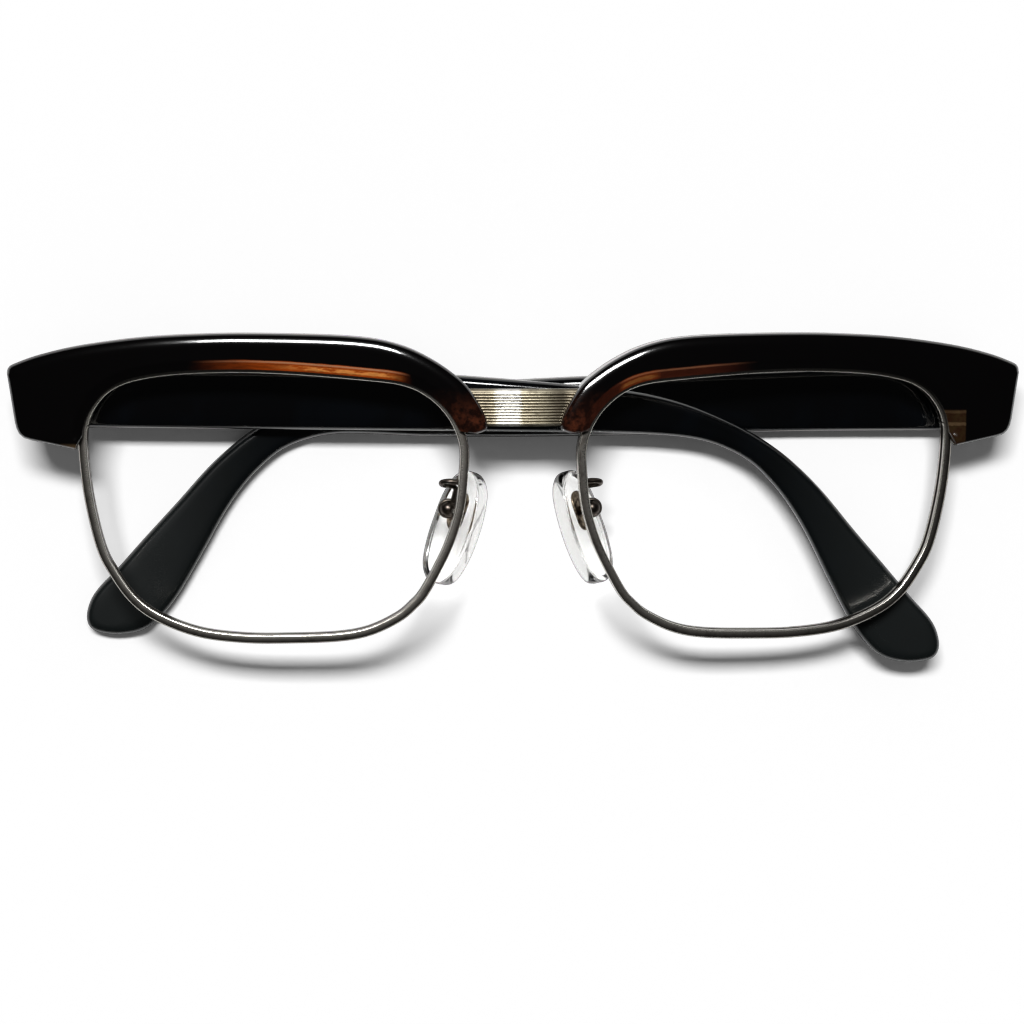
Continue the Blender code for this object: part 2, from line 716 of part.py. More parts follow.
def make_hinges(carriers, axes, steel, screw_steel):
    tall = LEAF_HEIGHT / 2
    half = FRONT_LEAF_REACH / 2
    front_leaf = make_leaf(
        "front_hinge",
        (-half, -HINGE_OFFSET - LEAF_THICKNESS, -tall),
        (half, -HINGE_OFFSET, tall),
        (-HINGE_RADIUS * KNUCKLE_ARM_SHARE, -HINGE_OFFSET - LEAF_THICKNESS / 2),
        (HINGE_RADIUS * KNUCKLE_ARM_SHARE, 0),
        (0, 2, 4),
    )
    front_leaf.data.transform(Matrix.Translation((HINGE_X, HINGE_Y, HINGE_Z)))
    on_both_sides(front_leaf, steel, carriers)

    start = -HINGE_OFFSET + TEMPLE_BUTT_GAP + SEAT_GAP
    temple_leaf = make_leaf(
        "temple_hinge",
        (HINGE_OFFSET, start, -tall),
        (HINGE_OFFSET + LEAF_THICKNESS, start + TEMPLE_LEAF_REACH, tall),
        (0, -HINGE_RADIUS * KNUCKLE_ARM_SHARE),
        (HINGE_OFFSET + LEAF_THICKNESS / 2, HINGE_RADIUS * KNUCKLE_ARM_SHARE),
        (1, 3),
    )
    on_both_sides(temple_leaf, steel, axes)

    levels = knuckle_levels()
    bottom, top = levels[0][0], levels[-1][1] + KNUCKLE_GAP
    centre = (HINGE_X, HINGE_Y, HINGE_Z)
    reach = top + HINGE_HEAD_HEIGHT / 2
    screw = rod("hinge_screw", parts, HINGE_PIN_RADIUS, bottom, reach, centre=centre)
    head = rod("hinge_head", parts, HINGE_HEAD_RADIUS, top, top + HINGE_HEAD_HEIGHT, centre=centre)
    joined(screw, [head])
    face = (HINGE_X, HINGE_Y, HINGE_Z + top + HINGE_HEAD_HEIGHT)
    on_both_sides(
        slotted(screw, face, (0, 0, -1), HINGE_HEAD_RADIUS, HINGE_HEAD_HEIGHT), screw_steel, carriers
    )


def temple_point(share, tilt):
    # A point of the temple's side view, from the hinge axis: along the temple, and up
    along = TEMPLE_BUTT + share[0] * TEMPLE_REACH
    up = BROW_TOP * TEMPLE_TOP_SHARE - HINGE_Z - (1 - share[1]) * TEMPLE_FALL
    return Matrix.Rotation(math.radians(-tilt), 2) @ Vector((along, up))


def make_temple(side, tilt, axis, plastic, steel):
    # Open, along +Y, on the right: X is the thickness, from the inner face outwards
    outline = [temple_point(share, tilt) for share in TEMPLE_SHARES]
    butt_top, butt_low = outline[0], outline[-1]
    outline = smooth_through(outline, False)
    butt_top.x = butt_low.x = TEMPLE_BUTT
    outline[0], outline[-1] = butt_top, butt_low
    outer = HINGE_OFFSET + TEMPLE_THICKNESS
    mesh = plate_mesh([outline], HINGE_OFFSET, outer)
    mesh.transform(Matrix(((0, 0, 1, 0), (1, 0, 0, 0), (0, 1, 0, 0), (0, 0, 0, 1))))
    for vertex in mesh.vertices:
        if vertex.co.x < outer - TEMPLE_THICKNESS / 2:
            along = min(max(vertex.co.y / (TEMPLE_REACH * TEMPLE_TAPER_SHARE), 0), 1)
            vertex.co.x += TEMPLE_TAPER * along
    temple = bevelled(mesh_object("temple_" + side, mesh, parts), TEMPLE_EDGE)

    start = -HINGE_OFFSET + TEMPLE_BUTT_GAP
    leaf_seat = box(
        "temple_leaf_cutter",
        (0, start - OVERRUN, -LEAF_HEIGHT / 2 - SEAT_GAP),
        (HINGE_OFFSET + LEAF_THICKNESS + SEAT_GAP, start + SEAT_GAP * 2 + TEMPLE_LEAF_REACH,
         LEAF_HEIGHT / 2 + SEAT_GAP),
        cutters,
    )
    line = smooth_through([temple_point(share, tilt) for share in CORE_SHARES], False)
    depth = outer - CORE_WALL - CORE_RADIUS - CORE_CLEARANCE
    route = [Vector((depth, p.x, p.y)) for p in line]
    first = route[0].copy()
    route[0].y = start + SEAT_GAP
    wire = mesh_object("core_wire_" + side, tube_mesh(route, CORE_RADIUS, 1), parts)
    first.y = start - OVERRUN
    end = route[-1] + (route[-1] - route[-2]).normalized() * CORE_CLEARANCE
    channel = mesh_object(
        "core_channel_cutter",
        tube_mesh([first, *route[1:-1], end], CORE_RADIUS + CORE_CLEARANCE, 1),
        cutters,
    )
    carved(temple, [leaf_seat, channel])
    for made, finish in ((temple, plastic), (wire, steel)):
        finished(made, finish)
        if side == "left":
            made.data.transform(Matrix.Scale(-1, 4, (1, 0, 0)))
            made.data.flip_normals()
        made.parent = axis


def pad_frame():
    # The pad's middle, and its directions: down its length, across it, and out towards the lens
    centre = Vector((PAD_SPREAD, PAD_SETBACK, EYE_TOP - PAD_DROP))
    flare, splay = math.radians(PAD_FLARE), math.radians(PAD_SPLAY)
    down = Vector((math.sin(splay), 0, -math.cos(splay)))
    across = Vector((math.sin(flare), math.cos(flare), 0))
    across = (across - down * across.dot(down)).normalized()
    out = across.cross(down).normalized()
    if out.x < 0:
        out = -out
    return centre, down, across, out


def pad_matrix(centre, down, across, out):
    # Local X runs across the pad, Y up its length and Z out towards the lens
    turn = Matrix((across, -down, out)).transposed().to_4x4()
    if turn.determinant() < 0:
        turn = Matrix((-across, -down, out)).transposed().to_4x4()
    return Matrix.Translation(centre) @ turn


def make_pads(carriers, pivots, finishes):
    clear, dull, steel, screw_steel = finishes
    centre, down, across, out = pad_frame()
    place = pad_matrix(centre, down, across, out)
    half = PAD_THICKNESS / 2
    climb = PAD_CLIMB
    box_depth = half + SEAT_GAP + BOX_RADIUS
    box_spot = Vector((0, climb, box_depth))
    back = place @ Matrix.Translation(box_spot)
    to_pivot = back.inverted()

    outline = smooth_through([(x * PAD_WIDTH, y * PAD_LENGTH) for x, y in PAD_SHARES], True)
    pad = bevelled(mesh_object("nose_pad", plate_mesh([outline], -half, half), parts), PAD_EDGE, 3)
    wide = INSERT_WIDTH / 2 + SEAT_GAP
    long = INSERT_LENGTH / 2 + SEAT_GAP
    recess = box(
        "pad_recess_cutter",
        (-wide, climb - long, half - INSERT_THICKNESS - SEAT_GAP),
        (wide, climb + long, half + OVERRUN),
        cutters,
    )
    carved(pad, [recess])
    pad.data.transform(place)

    insert_outline = []
    for step in range(ROUND_SIDES):
        turn = math.tau * step / ROUND_SIDES
        straight = (INSERT_LENGTH - INSERT_WIDTH) / 2 * (1 if math.sin(turn) >= 0 else -1)
        insert_outline.append(
            (math.cos(turn) * INSERT_WIDTH / 2, climb + straight + math.sin(turn) * INSERT_WIDTH / 2)
        )
    insert = mesh_object(
        "pad_insert", plate_mesh([insert_outline], half - INSERT_THICKNESS, half), parts
    )
    tab = box(
        "pad_tab",
        (-INSERT_TAB / 2, climb - INSERT_TAB_WIDTH / 2, half - INSERT_THICKNESS / 2),
        (INSERT_TAB / 2, climb + INSERT_TAB_WIDTH / 2, box_depth),
        parts,
    )
    eye = rod(
        "pad_tab_eye", parts, INSERT_TAB_WIDTH / 2, -INSERT_TAB / 2, INSERT_TAB / 2,
        direction=(1, 0, 0), centre=box_spot,
    )
    joined(insert, [tab, eye])
    bore = rod(
        "pad_pin_bore", cutters, PAD_PIN_RADIUS + PAD_PIN_CLEARANCE, -BOX_RADIUS - OVERRUN,
        BOX_RADIUS + OVERRUN, SCREW_SIDES, direction=(1, 0, 0), centre=box_spot,
    )
    carved(insert, [bore])
    insert.data.transform(place)

    pin = rod(
        "pad_screw", parts, PAD_PIN_RADIUS, -BOX_RADIUS, BOX_RADIUS + PAD_PIN_HEAD_HEIGHT / 2,
        SCREW_SIDES, direction=(1, 0, 0), centre=box_spot,
    )
    head = rod(
        "pad_pin_head", parts, PAD_PIN_HEAD_RADIUS, BOX_RADIUS, BOX_RADIUS + PAD_PIN_HEAD_HEIGHT,
        SCREW_SIDES, direction=(1, 0, 0), centre=box_spot,
    )
    joined(pin, [head])
    pin.data.transform(place)

    spot = back.translation
    rim_x = nose_side_x(spot.z + ARM_LOOP_RISE, 0)
    root_y = RIM_SETBACK + RIM_DEPTH + face_depth(rim_x) + SEAT_GAP + ARM_RADIUS
    root_x = nose_side_x(spot.z + ARM_LOOP_RISE / 2, RIM_WIDTH / 2)
    loop_top = spot.z + ARM_LOOP_RISE
    shape = [
        Vector((root_x, root_y, spot.z + ARM_LOOP_RISE / 2)),
        Vector((root_x, root_y + ARM_LOOP_BACK / 4, loop_top - ARM_RADIUS * 2)),
        Vector(((root_x + spot.x) / 2, (root_y + spot.y) / 2 + ARM_LOOP_BACK / 4, loop_top)),
        Vector((spot.x + ARM_RADIUS, spot.y, loop_top - ARM_RADIUS)),
        Vector((spot.x + ARM_RADIUS * 2, spot.y - ARM_RADIUS, spot.z + ARM_LOOP_RISE / 2)),
        spot + out * ARM_RADIUS,
    ]
    arm = mesh_object("pad_arm", tube_mesh(smooth_through(shape, False, 3), ARM_RADIUS, 1), parts)
    ball = bpy.data.meshes.new("ball")
    work = bmesh.new()
    bmesh.ops.create_uvsphere(work, u_segments=SCREW_SIDES, v_segments=SCREW_SIDES - 2, radius=BOX_RADIUS)
    work.to_mesh(ball)
    work.free()
    ball.transform(back)
    joined(arm, [mesh_object("ball", ball, parts)])
    slot_mesh = box_mesh(
        (-BOX_SLOT / 2, climb - BOX_RADIUS - OVERRUN, half - OVERRUN),
        (BOX_SLOT / 2, climb + BOX_RADIUS + OVERRUN, box_depth + INSERT_TAB_WIDTH / 2 + KNUCKLE_GAP),
    )
    slot_mesh.transform(place)
    bore_mesh = bore.data.copy()
    bore_mesh.transform(place)
    slot = mesh_object("box_slot_cutter", slot_mesh, cutters)
    pin_hole = mesh_object("box_bore_cutter", bore_mesh, cutters)
    carved(arm, [slot, pin_hole])
    on_both_sides(arm, steel, carriers)
    on_both_sides(pin, screw_steel, carriers)

    for side, sign in SIDES:
        pivots[side].location = (spot.x * sign, spot.y, spot.z)
    for made, finish in ((pad, clear), (insert, dull)):
        made.data.transform(Matrix.Translation(-spot))
        on_both_sides(made, finish, pivots)


def new_empty(name, parent=None, location=(0, 0, 0)):
    made = bpy.data.objects.new(name, None)
    made.empty_display_size = HINGE_RADIUS
    parts.objects.link(made)
    made.parent = parent
    made.location = location
    return made


def stand_on_origin(root):
    # The lowest point comes to z = 0 and the box's middle to x = y = 0
    bpy.context.view_layer.update()
    graph = bpy.context.evaluated_depsgraph_get()
    corners = []
    for made in parts.objects:
        if made.type == "MESH":
            shown = made.evaluated_get(graph)
            corners += [shown.matrix_world @ v.co for v in shown.data.vertices]
    low = [min(c[i] for c in corners) for i in range(3)]
    high = [max(c[i] for c in corners) for i in range(3)]
    root.location = (-(low[0] + high[0]) / 2, -(low[1] + high[1]) / 2, -low[2])


clear_scene()
parts = new_collection("browline_eyeglass_frame")
cutters = new_collection("cutters")
cutters.hide_render = True

brow_plastic = material("brow_plastic", (0.012, 0.008, 0.007), 0.12, 0.0)
temple_plastic = material("temple_plastic", (0.008, 0.009, 0.013), 0.22, 0.0)
rim_metal = material("rim_metal", (0.36, 0.34, 0.31), 0.32, 1.0)
bridge_metal = material("bridge_metal", (0.66, 0.62, 0.52), 0.28, 1.0)
hinge_metal = material("hinge_metal", (0.50, 0.48, 0.44), 0.30, 1.0)
screw_metal = material("screw_metal", (0.50, 0.49, 0.47), 0.30, 1.0)
core_metal = material("core_metal", (0.45, 0.45, 0.45), 0.35, 1.0)
insert_metal = material("insert_metal", (0.55, 0.52, 0.46), 0.35, 1.0)
pad_clear = material("pad_clear", (0.92, 0.93, 0.92), 0.08, 0.0, 0.9)

root_empty = new_empty("frame_root")
front_empties = {side: new_empty("front_" + side, root_empty) for side, sign in SIDES}
hinge_empties = {}
pad_empties = {}
for side, sign in SIDES:
    hinge_empties[side] = new_empty(
        "hinge_axis_" + side, root_empty, (sign * HINGE_X, HINGE_Y, HINGE_Z)
    )
    pad_empties[side] = new_empty("pad_axis_" + side, root_empty)

make_rim(front_empties, rim_metal)
make_brow(front_empties, brow_plastic)
make_bridge(front_empties, bridge_metal)
make_blocks(front_empties, rim_metal, screw_metal)
make_tabs(front_empties, rim_metal, screw_metal)
make_hinges(front_empties, hinge_empties, hinge_metal, screw_metal)
make_temple("right", RIGHT_TILT, hinge_empties["right"], temple_plastic, core_metal)
make_temple("left", LEFT_TILT, hinge_empties["left"], temple_plastic, core_metal)
make_pads(front_empties, pad_empties, (pad_clear, insert_metal, rim_metal, screw_metal))

hinge_empties["right"].rotation_euler.z = math.radians(RIGHT_FOLD)
hinge_empties["left"].rotation_euler.z = -math.radians(LEFT_FOLD)
stand_on_origin(root_empty)
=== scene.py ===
import json
import math

import bmesh
import bpy
import numpy as np
from mathutils import Matrix, Vector


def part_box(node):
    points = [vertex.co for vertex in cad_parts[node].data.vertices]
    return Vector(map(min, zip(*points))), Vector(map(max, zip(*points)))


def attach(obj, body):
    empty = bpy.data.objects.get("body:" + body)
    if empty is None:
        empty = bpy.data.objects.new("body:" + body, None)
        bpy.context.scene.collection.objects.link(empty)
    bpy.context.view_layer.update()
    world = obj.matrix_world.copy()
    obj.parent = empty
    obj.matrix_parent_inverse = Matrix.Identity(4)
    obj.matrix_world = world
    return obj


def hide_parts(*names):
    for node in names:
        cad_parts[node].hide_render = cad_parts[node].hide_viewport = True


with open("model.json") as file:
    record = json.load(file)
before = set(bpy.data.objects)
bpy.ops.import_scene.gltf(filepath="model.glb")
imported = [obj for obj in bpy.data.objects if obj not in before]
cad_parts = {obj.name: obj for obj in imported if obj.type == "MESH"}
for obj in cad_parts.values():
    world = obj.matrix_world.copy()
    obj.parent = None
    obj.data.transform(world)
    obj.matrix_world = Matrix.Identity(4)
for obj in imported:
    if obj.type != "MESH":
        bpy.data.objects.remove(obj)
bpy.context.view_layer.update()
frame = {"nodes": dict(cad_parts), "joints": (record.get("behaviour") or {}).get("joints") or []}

print("frame loaded:", len(frame["nodes"]), "nodes")

mm = 0.001
sides = {"Right": 1, "Left": -1}
joints = {joint["name"]: joint for joint in frame["joints"]}

# the front's drawing, the same figures as the solid model's, in millimetres
front = {
    "eyeWidth": 51.2,
    "eyeHeight": 36.2,
    "bridgeWidth": 17.4,
    "curve": 450.0,  # radius of the front seen from above
    "rimWidth": 1.2,
    "rimDepth": 2.4,
    "rimSetback": 1.8,
    "browRise": 5.4,
    "browDepth": 4.5,
    "endReach": 10.7,
    "endDrop": 8.5,
    "hingeInset": 7.1,
    "hingeOffset": 1.6,
    "hingeDrop": 3.5,
    "splitShare": 0.797,  # how high each rim is split and the bridge starts, in the eye's height
    "noseSide": 12.8,  # the nose side of an eye ends this far beyond the half bridge
}
halfBridge = front["bridgeWidth"] / 2
eyeBase = front["rimWidth"]
eyeTop = eyeBase + front["eyeHeight"]
browTop = eyeTop + front["browRise"]
halfFront = halfBridge + front["eyeWidth"] + front["endReach"]
splitHeight = eyeBase + front["splitShare"] * front["eyeHeight"]
eyeMiddle = eyeBase + front["eyeHeight"] / 2
noseSideX = halfBridge + front["noseSide"]


def sag(x):
    return x * x / (2 * front["curve"])  # how far the front curves back


hingeX = halfFront - front["hingeInset"]
hingeY = sag(hingeX) + front["browDepth"] + front["hingeOffset"]
hingeZ = eyeTop - front["hingeDrop"]
hingeSpot = joints["right_temple_fold"]["pos_m"]
shiftY = hingeSpot[1] / mm - hingeY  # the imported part's place
shiftZ = hingeSpot[2] / mm - hingeZ


def atFront(x, z, depth):
    return Vector((x, depth + sag(x) + shiftY, z + shiftZ)) * mm


eyeShares = (
    (1.000, 0.760), (0.994, 0.812), (0.979, 0.860), (0.948, 0.914), (0.906, 0.951), (0.850, 0.974),
    (0.779, 0.989), (0.696, 0.997), (0.586, 1.000), (0.475, 0.995), (0.370, 0.985), (0.272, 0.973),
    (0.180, 0.959), (0.126, 0.938), (0.084, 0.904), (0.050, 0.860), (0.025, 0.811), (0.008, 0.756),
    (0.000, 0.698), (0.002, 0.625), (0.010, 0.507), (0.025, 0.419), (0.051, 0.321), (0.104, 0.178),
    (0.137, 0.122), (0.176, 0.077), (0.248, 0.029), (0.330, 0.007), (0.459, 0.000), (0.580, 0.001),
    (0.701, 0.022), (0.806, 0.077), (0.873, 0.145), (0.925, 0.247), (0.957, 0.342), (0.984, 0.507),
    (0.997, 0.650),
)
browShares = (
    (1.000, 0.874), (0.997, 0.889), (0.985, 0.902), (0.935, 0.931), (0.855, 0.961), (0.736, 0.987),
    (0.617, 0.998), (0.519, 1.000), (0.393, 0.996), (0.320, 0.989), (0.268, 0.976), (0.218, 0.950),
    (0.172, 0.911), (0.137, 0.871), (0.113, 0.836), (0.093, 0.790), (0.078, 0.745), (0.072, 0.712),
    (0.074, 0.692), (0.090, 0.680), (0.111, 0.682),
)
templeShares = (
    (0.000, 1.000), (0.120, 1.000), (0.237, 0.995), (0.345, 0.988), (0.434, 0.978), (0.505, 0.965),
    (0.568, 0.952), (0.623, 0.938), (0.663, 0.923), (0.700, 0.898), (0.735, 0.862), (0.770, 0.816),
    (0.800, 0.764), (0.829, 0.698), (0.862, 0.600), (0.899, 0.465), (0.935, 0.339), (0.965, 0.232),
    (0.986, 0.163), (0.996, 0.114), (1.000, 0.059), (0.995, 0.020), (0.980, 0.003), (0.960, 0.000),
    (0.938, 0.015), (0.920, 0.055), (0.898, 0.144), (0.872, 0.292), (0.846, 0.450), (0.825, 0.554),
    (0.804, 0.634), (0.781, 0.700), (0.752, 0.748), (0.720, 0.778), (0.678, 0.792), (0.615, 0.797),
    (0.500, 0.798), (0.350, 0.800), (0.180, 0.802), (0.000, 0.803),
)
padShares = (
    (0.10, 0.50), (0.34, 0.42), (0.47, 0.25), (0.50, 0.05), (0.49, -0.18), (0.40, -0.38), (0.20, -0.49),
    (-0.05, -0.50), (-0.28, -0.44), (-0.42, -0.27), (-0.47, -0.05), (-0.44, 0.18), (-0.34, 0.37),
    (-0.14, 0.48),
)


def smoothThrough(points, closed, steps):
    # a smooth line through the points, with this many steps from each to the next
    count = len(points)
    found = []
    for i in range(count if closed else count - 1):
        near = []
        for j in range(i - 1, i + 3):
            near.append(Vector(points[j % count if closed else min(max(j, 0), count - 1)]))
        a, b, c, d = near
        for step in range(steps):
            t = step / steps
            bend = (2 * a - 5 * b + 4 * c - d) * t ** 2 + (3 * b - a - 3 * c + d) * t ** 3
            found.append(b + ((c - a) * t + bend) / 2)
    if not closed:
        found.append(Vector(points[-1]))
    return found


def stepsAlong(line, count):
    # a line cut into equal lengths
    line = [Vector(point) for point in line]
    reach = [0.0]
    for a, b in zip(line, line[1:]):
        reach.append(reach[-1] + (b - a).length)
    found = []
    k = 0
    for i in range(count):
        wanted = reach[-1] * i / (count - 1)
        while k < len(line) - 2 and reach[k + 1] < wanted:
            k += 1
        span = reach[k + 1] - reach[k]
        found.append(line[k].lerp(line[k + 1], (wanted - reach[k]) / span if span else 0))
    return found


def outwards(point, along, centre):
    normal = Vector((along.y, -along.x)).normalized()
    return -normal if normal.dot(point - centre) < 0 else normal


def offsetRing(ring, distance):
    # a closed ring moved outwards
    centre = sum(ring, Vector((0, 0))) / len(ring)
    moved = []
    for i, point in enumerate(ring):
        along = ring[(i + 1) % len(ring)] - ring[i - 1]
        moved.append(point + outwards(point, along, centre) * distance)
    return moved


def eyeRing(steps=6):
    spots = [(halfBridge + x * front["eyeWidth"], eyeBase + z * front["eyeHeight"]) for x, z in eyeShares]
    return smoothThrough(spots, True, steps)


def distanceTo(points, line):
    # shortest distance from each point to a broken line
    points = np.asarray(points, float)
    line = np.array([list(point) for point in line], float)
    a, b = line[:-1], line[1:]
    run = b - a
    size = np.maximum((run ** 2).sum(1), 1e-12)
    best = np.full(len(points), 1e9)
    for start in range(0, len(points), 4000):
        part = points[start:start + 4000, None, :]
        t = np.clip(((part - a) * run).sum(2) / size, 0, 1)
        gap = part - (a + t[..., None] * run)
        best[start:start + 4000] = np.sqrt((gap ** 2).sum(2)).min(1)
    return best


def rolled(distance, radius):
    # depth below a face near its rounded edge
    inside = radius - np.minimum(distance, radius)
    return radius - np.sqrt(np.maximum(radius ** 2 - inside ** 2, 0))


def blended(*depths):
    # several roundings where they meet
    return sum(np.maximum(depth, 0) ** 3 for depth in depths) ** (1 / 3)


def placed(name, data):
    piece = bpy.data.objects.new(name, data)
    bpy.context.scene.collection.objects.link(piece)
    return piece


def meshPiece(name, points, faces, merge=0.00001):
    work = bmesh.new()
    for point in points:
        work.verts.new(point)
    work.verts.ensure_lookup_table()
    for face in faces:
        if len(set(face)) == len(face):
            work.faces.new([work.verts[i] for i in face])
    bmesh.ops.remove_doubles(work, verts=work.verts, dist=merge)
    bmesh.ops.dissolve_degenerate(work, edges=work.edges, dist=merge / 10)
    bmesh.ops.recalc_face_normals(work, faces=work.faces)
    mesh = bpy.data.meshes.new(name)
    work.to_mesh(mesh)
    work.free()
    return placed(name, mesh)


def rowsBetween(lowLine, highLine, fromLow, fromHigh, inner, limit):
    # rows of points across from one line to the other, close together along both edges
    grid = []
    for low, high in zip(lowLine, highLine):
        wide = max((high - low).length, 0.001)
        squeeze = min(1, limit * wide / fromLow[-1])
        near = [d * squeeze / wide for d in fromLow]
        far = [1 - d * squeeze / wide for d in reversed(fromHigh)]
        middle = [near[-1] + (far[0] - near[-1]) * k / (inner + 1) for k in range(1, inner + 1)]
        grid.append([low.lerp(high, share) for share in near + middle + far])
    return grid


def gridShell(name, grid, topDepth, backDepth, place, wallRows=2):
    # two facing sheets over one grid of points, closed by a wall round their edge
    rows, columns = len(grid), len(grid[0])
    points = []
    for depths in (topDepth, backDepth):
        for i in range(rows):
            for j in range(columns):
                points.append(place(grid[i][j][0], grid[i][j][1], depths[i][j]))
    half = rows * columns
    faces = []
    for i in range(rows - 1):
        for j in range(columns - 1):
            a, b = i * columns + j, i * columns + j + 1
            c, d = b + columns, a + columns
            faces.append((a, b, c, d))
            faces.append((d + half, c + half, b + half, a + half))
    edge = [(i, 0) for i in range(rows)] + [(rows - 1, j) for j in range(1, columns)]
    edge += [(i, columns - 1) for i in range(rows - 2, -1, -1)] + [(0, j) for j in range(columns - 2, 0, -1)]
    rings = [[i * columns + j for i, j in edge]]
    for row in range(1, wallRows):
        share = row / wallRows
        ring = []
        for i, j in edge:
            depth = topDepth[i][j] + (backDepth[i][j] - topDepth[i][j]) * share
            ring.append(len(points))
            points.append(place(grid[i][j][0], grid[i][j][1], depth))
        rings.append(ring)
    rings.append([i * columns + j + half for i, j in edge])
    for first, second in zip(rings, rings[1:]):
        for k in range(len(edge)):
            n = (k + 1) % len(edge)
            faces.append((first[k], first[n], second[n], second[k]))
    return meshPiece(name, points, faces)


def circle(count):
    return [(math.cos(math.tau * k / count), math.sin(math.tau * k / count)) for k in range(count)]


def ringFaces(count, size, closed=False):
    # quads between rings of points that follow each other; an open row gets its two end faces
    faces = []
    for i in range(count if closed else count - 1):
        n = (i + 1) % count
        for k in range(size):
            m = (k + 1) % size
            faces.append((i * size + k, i * size + m, n * size + m, n * size + k))
    if not closed:
        faces += [tuple(range(size)), tuple((count - 1) * size + k for k in reversed(range(size)))]
    return faces


def blockPiece(name, low, high):
    corners = [(x, y, z) for x in (low[0], high[0]) for y in (low[1], high[1]) for z in (low[2], high[2])]
    faces = [(0, 1, 3, 2), (4, 6, 7, 5), (0, 4, 5, 1), (2, 3, 7, 6), (0, 2, 6, 4), (1, 5, 7, 3)]
    return meshPiece(name, [Vector(corner) for corner in corners], faces)


def sweptRing(name, ring, section, place, openAt=None, gap=0.0):
    # a section carried round a closed ring; openAt leaves a slit at that height on the outer side
    stations = list(ring)
    if openAt is not None:
        middle = halfBridge + front["eyeWidth"] / 2
        lean = 0.02  # the outline leans in by this across the slit
        after = [i for i, p in enumerate(ring) if p.x > middle and p.y > openAt + gap / 2]
        first = min(after, key=lambda i: ring[i].y)
        stations = ring[first:] + ring[:first]
        stations = [p for p in stations if not (p.x > middle and abs(p.y - openAt) < gap / 2)]
        side = min(stations, key=lambda p: abs(p.y - openAt) if p.x > middle else 99)
        stations.insert(0, Vector((side.x, openAt + gap / 2)))
        stations.append(Vector((side.x - lean, openAt - gap / 2)))
    count = len(stations)
    closed = openAt is None
    centre = sum(stations, Vector((0, 0))) / count
    points = []
    for i, point in enumerate(stations):
        back = stations[i - 1] if closed or i else stations[0]
        ahead = stations[(i + 1) % count] if closed or i < count - 1 else stations[-1]
        normal = outwards(point, ahead - back, centre)
        for out, depth in section:
            spot = point + normal * out
            points.append(place(spot.x, spot.y, depth))
    return meshPiece(name, points, ringFaces(count, len(section), closed))


def tubeMesh(name, line, radius, around=16):
    # a round wire along a line, closed at both ends
    line = [Vector(point) for point in line]
    points = []
    side = None
    for i, point in enumerate(line):
        along = (line[min(i + 1, len(line) - 1)] - line[max(i - 1, 0)]).normalized()
        if side is None:
            side = along.orthogonal().normalized()
        side = (side - along * side.dot(along)).normalized()
        other = along.cross(side)
        for across, up in circle(around):
            points.append(point + (side * across + other * up) * radius)
    return meshPiece(name, points, ringFaces(len(line), around))


def settled(piece):
    # live modifiers become the mesh
    graph = bpy.context.evaluated_depsgraph_get()
    mesh = bpy.data.meshes.new_from_object(piece.evaluated_get(graph))
    piece.modifiers.clear()
    piece.data = mesh
    return piece


def cut(piece, cutters):
    for cutter in cutters:
        step = piece.modifiers.new("cut", "BOOLEAN")
        step.operation = "DIFFERENCE"
        step.solver = "EXACT"
        step.object = cutter
    settled(piece)
    for cutter in cutters:
        bpy.data.objects.remove(cutter, do_unlink=True)
    return piece


def softened(piece, width):
    # eased edges, their width in millimetres
    bevel = piece.modifiers.new("soften", "BEVEL")
    bevel.width = width * mm
    bevel.segments = 2
    bevel.limit_method = "ANGLE"
    bevel.angle_limit = math.radians(35)
    bevel.harden_normals = False
    return settled(piece)


def shaded(piece, finish, angle=40):
    piece.data.materials.clear()
    piece.data.materials.append(finish)
    piece.data.shade_smooth()
    piece.data.set_sharp_from_angle(angle=math.radians(angle))
    return piece


def mirrored(piece, name):
    mesh = piece.data.copy()
    mesh.transform(Matrix.Scale(-1, 4, (1, 0, 0)))
    mesh.flip_normals()
    other = placed(name, mesh)
    other.visible_shadow = piece.visible_shadow
    return other


def pointField(piece, name, values):
    field = piece.data.attributes.get(name) or piece.data.attributes.new(name, "FLOAT", "POINT")
    field.data.foreach_set("value", np.asarray(values, np.float32))


def flatSpots(piece):
    # x and z of every point back in the drawing's right half, and the points as they are, in millimetres
    spots = np.empty(len(piece.data.vertices) * 3)
    piece.data.vertices.foreach_get("co", spots)
    spots = spots.reshape(-1, 3) / mm
    return np.stack([np.abs(spots[:, 0]), spots[:, 2] - shiftZ], 1), spots


class Wire:
    # one value running between nodes; a sum written with it adds Math nodes
    def __init__(self, tree, socket):
        self.tree = tree
        self.socket = socket

    def maths(self, operation, first, second=None):
        node = self.tree.nodes.new("ShaderNodeMath")
        node.operation = operation
        for place, value in enumerate((first, second)):
            if isinstance(value, Wire):
                self.tree.links.new(value.socket, node.inputs[place])
            elif value is not None:
                node.inputs[place].default_value = value
        return Wire(self.tree, node.outputs[0])

    def __add__(self, other):
        return self.maths("ADD", self, other)

    def __sub__(self, other):
        return self.maths("SUBTRACT", self, other)

    def __mul__(self, other):
        return self.maths("MULTIPLY", self, other)

    def __truediv__(self, other):
        return self.maths("DIVIDE", self, other)

    def __rsub__(self, other):
        return self.maths("SUBTRACT", other, self)

    __radd__ = __add__
    __rmul__ = __mul__

    def held(self):
        return self.maths("MINIMUM", self.maths("MAXIMUM", self, 0.0), 1.0)


